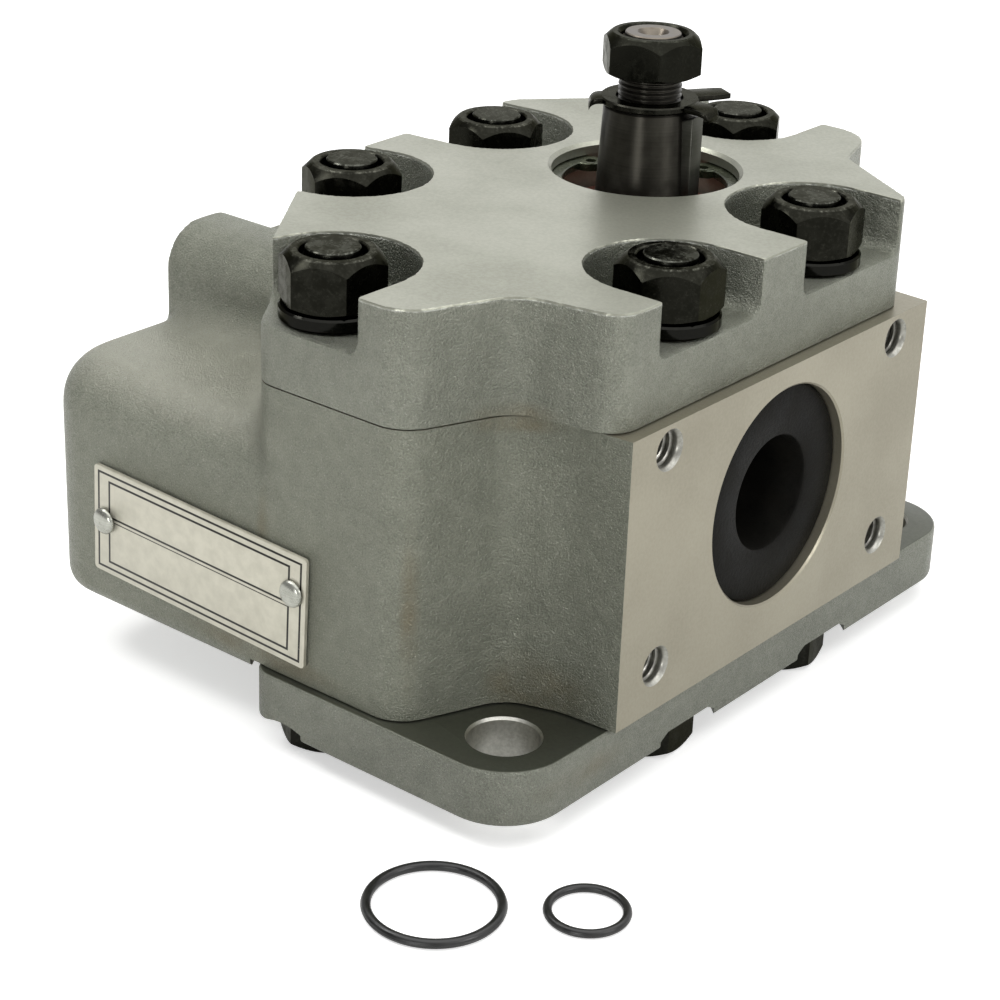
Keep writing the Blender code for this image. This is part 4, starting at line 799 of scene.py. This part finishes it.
shaft_profile = [(11.1, 85.0), (11.1, 88.3), (10.8, 88.5), (9.75, 111.6), (9.4, TAPER_TOP), (6.1, TAPER_TOP)]
for k in range(12):
    level = 112.6 + 1.1 * k
    shaft_profile += [(6.15, level), (6.15, level + 0.15), (6.8, level + 0.5), (6.8, level + 0.7)]
shaft_profile += [(6.75, 126.3), (6.1, 126.9), (5.95, 127.5), (5.75, 127.7), (3.4, 127.7), (3.1, 127.4),
                  (1.5, 124.6), (1.4, 122.9), (0.1, 122.5)]
upper_shaft = lay(turn("taper", shaft_profile, sides=96), AXIS)
coat(upper_shaft, taper_steel, end_steel,
     second=lambda p, n: p.z > 122 and math.hypot(p.x, p.y - SHAFT_Y) < 6.5 and n.z > 0.3)
shade(upper_shaft, 25)
collar = turn("collar", [(6.3, 117.9), (7.2, 118.1), (7.2, 118.9)], sides=64)
shade(coat(lay(collar, AXIS), taper_steel), 30)
drive_shaft = collect([lower_shaft, upper_shaft, collar])
ready(drive_shaft, "bright_steel", "drive_shaft", "drive_gear_shaft")

driven_shaft = smoothed_copy("driven_gear_shaft", "driven_shaft")
shade(coat(driven_shaft, ground_steel), 30)
ready(driven_shaft, "bright_steel", "driven_shaft", "driven_gear_shaft")

# Woodruff key
# A half-moon of steel, sawn from bar and ground on its sides, sits in the slot milled in the taper.
# It stands proud of the taper to drive the coupling.

KEY_TURN = 6.5

bpy.ops.object.select_all(action="DESELECT")
bpy.ops.mesh.primitive_cylinder_add(vertices=96, radius=10.6 * MM, depth=4.8 * MM,
                                    location=(14.2 * MM, 0, 101.0 * MM), rotation=(math.radians(90), 0, 0))
key = settle(bpy.context.object, "half_moon_key")
edit(key)
bpy.ops.mesh.bisect(plane_co=(12.2 * MM, 0, 0), plane_no=(1, 0, 0), clear_outer=True, use_fill=True)
pick(key, "EDGE", lambda p, d: p.x > 12.19 or abs(d.y) < 0.1)
bpy.ops.mesh.bevel(offset=0.35 * MM, segments=3, profile=0.5, affect="EDGES")
finish_edit(outwards=False)
lay(key, AXIS, turned=KEY_TURN)
key_steel = steel_finish("Key steel", rgb(88, 88, 82), rgb(68, 68, 62), 0.3, 0.42)
shade(coat(key, key_steel), 35)
ready(key, "bright_steel", "drive_shaft", "woodruff_key")

# Tab washer
# A locking washer pressed from black sheet steel. One tab is bent down over the key and one is
# curled down at the back, and the long one lies flat.

DISC_EDGE = 10.2
disc = turn("tab_washer_disc", [
    (10.3, 112.3), (10.6, 112.6), (10.6, 113.5), (10.3, 113.8), (7.3, 113.8), (7.2, 113.7), (7.2, 112.4),
    (7.3, 112.3),
], sides=96, ring=True)


def tongue(direction, width, reach, drop, tip):
    """A tab is drawn out of the disc in short steps, sinking as it goes and narrowing to its tip."""
    steps = 8
    tab = block("tab", (8.0, -width / 2, 112.35), (DISC_EDGE, width / 2, 113.75))
    edit(tab)
    pick(tab, "FACE", lambda p, n: n.x > 0.9)
    x, z = DISC_EDGE, 0.0
    for k in range(1, steps + 1):
        t = k / steps
        new_x = DISC_EDGE + (reach - DISC_EDGE) * math.sin(t * math.pi / 2) ** (0.75 if drop else 1)
        new_z = -drop * t ** 2
        step = Vector((new_x - x, 0, new_z - z)) * MM
        bpy.ops.mesh.extrude_region_move(TRANSFORM_OT_translate={"value": step})
        narrow = 1 - (1 - tip) * (t ** 3 - ((k - 1) / steps) ** 3)
        middle = Vector((new_x, 0, 113.05 + new_z)) * MM
        bpy.ops.transform.resize(value=(1, narrow, 0.97), center_override=middle)
        x, z = new_x, new_z
    finish_edit(outwards=False)
    edge = tab.modifiers.new("edge", "BEVEL")
    edge.width = 0.3 * MM
    edge.segments = 3
    edge.limit_method = "ANGLE"
    edge.angle_limit = math.radians(50)
    take(tab)
    bpy.ops.object.modifier_apply(modifier=edge.name)
    return lay(tab, turned=direction)


tabs = [tongue(KEY_TURN, 6.0, 15.6, 1.8, 0.6), tongue(61.0, 5.5, 18.2, 0.0, 0.8),
        tongue(220.0, 6.0, 12.9, 2.2, 0.45)]
tab_washer = lay(collect([disc] + tabs), AXIS)
tab_finish = blacked_finish("Blacked sheet", rgb(32, 32, 28), rgb(66, 64, 58), 0.3, metallic=1.0,
                            Specular_Tint=DARK_EDGE)
shade(coat(tab_washer, tab_finish), 40)
tab_washer.name = "lock_washer"
ready(tab_washer, "black_oxide_steel", "drive_shaft", "tab_washer")

# Shaft nut
# A plain half-inch nut in blacked steel holds the coupling on the taper.

shaft_nut = slab("end_nut", hexagon_corners(19.55), 118.9, 127.7, segments=4)
join_solids(shaft_nut, turn("end_nut_form", [
    (9.5, 118.9), (9.7, 119.0), (11.5, 120.0), (11.5, 125.0), (11.2, 125.3), (9.1, 127.4), (8.6, 127.7),
], sides=96), "INTERSECT")
join_solids(shaft_nut, turn("end_nut_bore", [
    (8.2, 128.3), (7.6, 127.7), (6.95, 126.9), (6.95, 119.5), (7.6, 118.8), (7.7, 118.0),
], sides=64), "DIFFERENCE")
end_nut_finish = blacked_finish("Blacked shaft nut", rgb(25, 25, 21), rgb(72, 73, 65), 0.1, top=127.5,
                                top_wear=0.6, metallic=1.0, Specular_Tint=DARK_EDGE)
shade(coat(shaft_nut, end_nut_finish), 25)
ready(lay(shaft_nut, AXIS, turned=14.7), "black_oxide_steel", "drive_shaft", "shaft_nut")

# Shaft seal and circlip
# The lip seal is red-brown rubber moulded over a steel ring and pressed into the cover. A sprung
# circlip, phosphated olive green, snaps into the groove above it.

seal = lay(turn("lip_seal", [
    (19.4, 80.0), (20.0, 80.6), (20.0, 87.4), (19.4, 88.0), (16.2, 88.0), (15.8, 87.5), (14.6, 86.6), (12.6, 87.2),
    (11.6, 87.6), (11.4, 87.2), (11.5, 84.6), (12.4, 83.2), (12.6, 80.6), (13.2, 80.0),
], sides=96, ring=True), AXIS)
seal_rubber, tree, shader, place = new_finish("Seal rubber", Metallic=0.0)
film = span(tree, noise(tree, place, 0.5, 4.0), 0.3, 0.7)
give(tree, shader, blend(tree, film, rgb(74, 34, 24), rgb(120, 58, 40)), span(tree, film, 0, 1, 0.35, 0.55), film,
     0.02)
shade(coat(seal, seal_rubber), 35)
ready(seal, "seal_rubber", "casing", "shaft_seal")

CLIP_LOW, CLIP_HIGH = 93.2, 95.0
LUGS = [math.radians(78.0), math.radians(170.0)]
circlip = turn("circlip", [
    (21.0, CLIP_LOW), (21.2, CLIP_LOW + 0.2), (21.2, CLIP_HIGH - 0.2), (21.0, CLIP_HIGH), (18.0, CLIP_HIGH),
    (17.8, CLIP_HIGH - 0.2), (17.8, CLIP_LOW + 0.2), (18.0, CLIP_LOW),
], sides=128, ring=True)


def wedge(name, first, last, radius):
    """A sector of the circle between two directions, taller than the clip."""
    corners = [(0.0, 0.0, 0.0)]
    for k in range(5):
        a = math.radians(first + (last - first) * k / 4)
        corners.append((radius * math.cos(a), radius * math.sin(a), 0.0))
    return slab(name, corners, 92, 96)


join_solids(circlip, wedge("clip_gap", 84.0, 164.0, 30), "DIFFERENCE")
for a in LUGS:
    lug = turn("lug", [(3.0, CLIP_LOW + 0.01), (3.0, CLIP_HIGH - 0.2), (2.8, CLIP_HIGH - 0.01)], sides=48)
    join_solids(circlip, lay(lug, (18.0 * math.cos(a), 18.0 * math.sin(a), 0)), "UNION")
for a in LUGS:
    hole = turn("lug_hole", [(1.2, 92), (1.2, 96)], sides=32)
    join_solids(circlip, lay(hole, (17.2 * math.cos(a), 17.2 * math.sin(a), 0)), "DIFFERENCE")
lay(circlip, AXIS)
clip_finish = blacked_finish("Phosphated clip", rgb(54, 60, 44), rgb(112, 116, 92), 0.5, metallic=0.5)
shade(coat(circlip, clip_finish), 30)
ready(circlip, "spring_steel", "casing", "seal_circlip")

# Port plugs
# A moulded black cap is pushed into each port to keep dirt out until the pipes are fitted. Each has
# a wide flange and a hollow spigot.


def port_plug(name, flange_radius, spigot, cavity, face_x, facing):
    """The cap is turned as one shell: the cup's floor, its wall, the flange and the spigot's end."""
    stations = [
        (cavity - 1.0, -18.0), (cavity - 0.3, -17.7), (cavity, -17.0), (cavity, -3.0), (cavity + 0.25, -2.45),
        (cavity + 0.8, -2.2), (flange_radius - 0.5, -2.2), (flange_radius - 0.15, -2.35), (flange_radius, -2.7),
        (flange_radius, -5.4), (flange_radius - 0.3, -5.7), (spigot + 0.3, -5.7), (spigot, -6.0), (spigot, -19.2),
        (spigot - 0.8, -20.0),
    ]
    return lay(turn(name, stations, sides=128), (face_x, 0, PORT_Z), facing)


plug_plastic, tree, shader, place = new_finish("Moulded plastic", Metallic=0.0, Specular_IOR_Level=0.06)
cloud = span(tree, noise(tree, place, 0.12, 4.0), 0.3, 0.7)
grain = span(tree, noise(tree, place, 1.2, 4.0, 0.7), 0.3, 0.7)
dull = span(tree, plus(tree, times(tree, cloud, 0.6), times(tree, grain, 0.4)), 0.0, 1.0, 0.42, 0.58)
give(tree, shader, blend(tree, cloud, rgb(11, 11, 9), rgb(20, 19, 16)), dull, grain, 0.03)
inlet_cap = port_plug("inlet_cap_piece", 23.4, 14.2, 12.2, INLET_FACE, "X")
outlet_cap = port_plug("outlet_cap_piece", 16.7, 12.2, 10.2, OUTLET_FACE, "-X")
ready(shade(coat(inlet_cap, plug_plastic), 40), "black_plastic", "inlet_cap", "inlet_plug")
ready(shade(coat(outlet_cap, plug_plastic), 40), "black_plastic", "outlet_cap", "outlet_plug")

# Name plate and drive rivets
# The plate is thin aluminium, printed with plain black border lines, and held by two domed drive
# rivets hammered into the chamber's wall.

PLATE_TURN = 2.0
PLATE_LEFT = -3.4
PLATE_WIDTH = 61.0
PLATE_HEIGHT = 24.4
LEFT_RIVET = (-58.6, 30.5)

half_high = PLATE_HEIGHT / 2
plate = slab("plate", [
    (PLATE_LEFT, -half_high, 0.9), (PLATE_LEFT + PLATE_WIDTH, -half_high, 0.9),
    (PLATE_LEFT + PLATE_WIDTH, half_high, 0.9), (PLATE_LEFT, half_high, 0.9),
], 0.0, 0.8, segments=5)
round_edges(plate, 0.12, 2, lambda p, d: p.z > 0.79)
lay(plate, (LEFT_RIVET[0], -80.3, LEFT_RIVET[1]), "-Y", PLATE_TURN)

plate_finish, tree, shader, place = new_finish(
    "Printed plate", centre=(LEFT_RIVET[0], -81.1, LEFT_RIVET[1]), turned=(0, PLATE_TURN, 0), Metallic=0.55)
plate_place = node(tree, "ShaderNodeSeparateXYZ", Vector=place).outputs


def line_at(value, middle, half_width):
    """One inside a printed line's width, nothing beyond it."""
    off = maths(tree, "ABSOLUTE", maths(tree, "SUBTRACT", value, middle))
    return span(tree, off, half_width + 0.06, half_width - 0.06)


middle_x = PLATE_LEFT + PLATE_WIDTH / 2
across = maths(tree, "ABSOLUTE", maths(tree, "SUBTRACT", plate_place[0], middle_x))
upright = maths(tree, "ABSOLUTE", plate_place[2])
ink = None
for side_inset, top_inset in ((1.4, 1.3), (4.6, 2.9)):
    from_side = maths(tree, "SUBTRACT", across, PLATE_WIDTH / 2 - side_inset)
    from_top = maths(tree, "SUBTRACT", upright, PLATE_HEIGHT / 2 - top_inset)
    border = line_at(maths(tree, "MAXIMUM", from_side, from_top), 0.0, 0.26)
    ink = maths(tree, "MAXIMUM", ink, border) if ink else border
inside = span(tree, across, PLATE_WIDTH / 2 - 4.6, PLATE_WIDTH / 2 - 4.7)
for level, half_width in ((1.2, 0.24), (0.3, 0.12)):
    ink = maths(tree, "MAXIMUM", ink, times(tree, line_at(plate_place[2], level, half_width), inside))
wear_and_glint = span(tree, noise(tree, place, 0.7, 5.0, 0.7), 0.62, 0.74)
ink = times(tree, ink, maths(tree, "SUBTRACT", 1.0, times(tree, wear_and_glint, 0.5)))
cloud = span(tree, noise(tree, place, 0.3, 4.0), 0.3, 0.7)
sheet_tone = blend(tree, cloud, rgb(184, 181, 166), rgb(200, 197, 182))
give(tree, shader, blend(tree, ink, sheet_tone, rgb(34, 33, 31)), span(tree, cloud, 0.0, 1.0, 0.34, 0.46), ink,
     -0.02)
shade(coat(plate, plate_finish), 30)
ready(plate, "plate_aluminium", "casing", "name_plate")

rivet_finish = steel_finish("Rivet", rgb(186, 187, 178), rgb(146, 147, 138), 0.22, 0.34, metallic=0.85)
dome = [(1.2, -6.4), (1.2, 0.0), (2.75, 0.0), (2.9, 0.12), (2.85, 0.4), (2.6, 0.72), (2.2, 0.98), (1.6, 1.18),
        (0.9, 1.28), (0.15, 1.3)]
for side, along in (("left", 0.0), ("right", 54.2)):
    x = LEFT_RIVET[0] + along * math.cos(math.radians(PLATE_TURN))
    z = LEFT_RIVET[1] + along * math.sin(math.radians(PLATE_TURN))
    rivet = lay(turn("rivet_" + side, dome, sides=48), (x, -81.4, z), "-Y")
    shade(coat(rivet, rivet_finish), 50)
    ready(rivet, "bright_steel", "casing", "drive_rivet_" + side)

# Loose port rings
# Two moulded rubber rings for the pipe flanges lie in front of the pump. Each has the fine parting
# line of its mould round the outside.

ring_rubber, tree, shader, place = new_finish("Ring rubber", Metallic=0.0)
film = span(tree, noise(tree, place, 0.4, 4.0), 0.3, 0.7)
give(tree, shader, blend(tree, film, rgb(14, 14, 14), rgb(28, 28, 27)), span(tree, film, 0, 1, 0.3, 0.42), film,
     0.01)
for name, body_node, radius, cord, x, y in (
        ("large_ring", "large_port_ring", 12.6, 0.95, 51.6, -101.9),
        ("small_ring", "small_port_ring", 7.4, 0.85, 73.8, -84.4)):
    bpy.ops.object.select_all(action="DESELECT")
    bpy.ops.mesh.primitive_torus_add(major_radius=radius * MM, minor_radius=cord * MM, major_segments=128,
                                     minor_segments=24)
    ring = settle(bpy.context.object, name)
    edit(ring)
    pick(ring, "EDGE", lambda p, d: abs(p.z) < 0.01 and p.xy.length > radius and abs(d.z) < 0.1)
    bpy.ops.mesh.bevel(offset=0.05 * MM, segments=2, profile=0.5, affect="EDGES")
    pick(ring, "VERT", lambda p, n: abs(p.z) < 0.01 and p.xy.length > radius)
    bpy.ops.transform.resize(value=(1.004, 1.004, 1), center_override=(0, 0, 0))
    finish_edit(outwards=False)
    lay(ring, (x, y, HEAD_LOW + cord))
    shade(coat(ring, ring_rubber), 60)
    ready(ring, "black_rubber", "casing", body_node)

# Bearing blocks, bushes, joint seals and dowels
# These sit inside the casing: leaded alloy blocks with bronze-lined bushes round each shaft, rubber
# cords in the joint grooves, and four hardened dowels. They keep the solids from the frame.

block_finish = machined_finish("Bearing alloy", rgb(176, 174, 166), rgb(142, 140, 132))
bush_finish = machined_finish("Bronze lining", rgb(176, 138, 82), rgb(138, 104, 60), metallic=0.85)
dowel_finish = steel_finish("Dowel steel", rgb(182, 180, 174), rgb(148, 146, 140))
for name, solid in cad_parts.items():
    if "bearing_block" in name:
        finish = block_finish
    elif "bush" in name:
        finish = bush_finish
    elif "dowel" in name:
        finish = dowel_finish
    elif name.startswith("body_seal"):
        finish = ring_rubber
    else:
        continue
    solid.data.materials.clear()
    solid.data.materials.append(finish)

# Floor, light and camera
# The pump stands on a pale bench under wide soft lamps, seen from the inlet side and a little above.

bpy.ops.object.select_all(action="DESELECT")
bpy.ops.mesh.primitive_plane_add(size=6.0, location=(0, 0, HEAD_LOW * MM))
floor = settle(bpy.context.object, "bench")
bench, tree, shader, place = new_finish("Pale bench", Metallic=0.0)
seen = node(tree, "ShaderNodeLightPath").outputs
mirrored_rays = maths(tree, "MAXIMUM", seen["Is Glossy Ray"], seen["Is Transmission Ray"])
soft = noise(tree, place, 0.004)
give(tree, shader, blend(tree, soft, rgb(238, 238, 236), rgb(246, 246, 245)), span(tree, soft, 0.0, 1.0, 0.9, 0.95))
shader.inputs["Emission Color"].default_value = (1, 1, 1, 1)
away = node(tree, "ShaderNodeVectorMath", {"operation": "LENGTH"}, i0=place).outputs["Value"]
glow = span(tree, away, 400.0, 1600.0, 0.5, 0.7)
shine = plus(tree, times(tree, seen["Is Camera Ray"], glow), times(tree, mirrored_rays, 0.2))
tree.links.new(shine, shader.inputs["Emission Strength"])
coat(floor, bench)

world = bpy.data.worlds.new("Soft studio")
bpy.context.scene.world = world
world.use_nodes = True
tree = world.node_tree
seen = node(tree, "ShaderNodeLightPath").outputs
way = node(tree, "ShaderNodeTexCoord").outputs["Generated"]
toward = node(tree, "ShaderNodeVectorMath", {"operation": "DOT_PRODUCT"}, i0=way, i1=(0.42, 0.68, 0.6))
backdrop = span(tree, toward.outputs["Value"], -0.55, 0.45, 0.16, 1.05)
mirrored_rays = maths(tree, "MAXIMUM", seen["Is Glossy Ray"], seen["Is Transmission Ray"])
around = plus(tree, 0.36, times(tree, mirrored_rays, maths(tree, "SUBTRACT", backdrop, 0.36)))
sky = tree.nodes["Background"]
sky.inputs["Color"].default_value = (1, 1, 1, 1)
tree.links.new(maths(tree, "MAXIMUM", seen["Is Camera Ray"], around), sky.inputs["Strength"])


def lamp(name, place, aim, size, power):
    """A wide soft lamp that faces the place that it is aimed at."""
    bpy.ops.object.select_all(action="DESELECT")
    bpy.ops.object.light_add(type="AREA", location=place)
    made = bpy.context.object
    made.name = name
    made.data.shape = "DISK"
    made.data.size = size
    made.data.energy = power
    made.rotation_euler = (Vector(aim) - Vector(place)).to_track_quat("-Z", "Y").to_euler()


lamp("top_lamp", (0.0, 0.1, 1.1), (0, 0, 0.05), 2.0, 14.5)
lamp("right_lamp", (1.0, 0.0, 0.5), (0, 0, 0.05), 0.4, 2.4)
lamp("front_lamp", (0.3, -1.05, 0.2), (0, 0, 0.05), 0.3, 2.2)
lamp("left_lamp", (-0.62, -0.42, 0.95), (0, 0, 0.05), 0.3, 2.6)

bpy.ops.object.select_all(action="DESELECT")
bpy.ops.object.camera_add(location=(0.29863, -0.39645, 0.25609),
                          rotation=[math.radians(a) for a in (66.2303, -1.9632, 39.4212)])
camera = bpy.context.object
camera.data.lens = 89.296
camera.data.shift_x = -0.00308
camera.data.shift_y = -0.04795
bpy.context.scene.camera = camera
bpy.context.scene.view_settings.view_transform = "Standard"
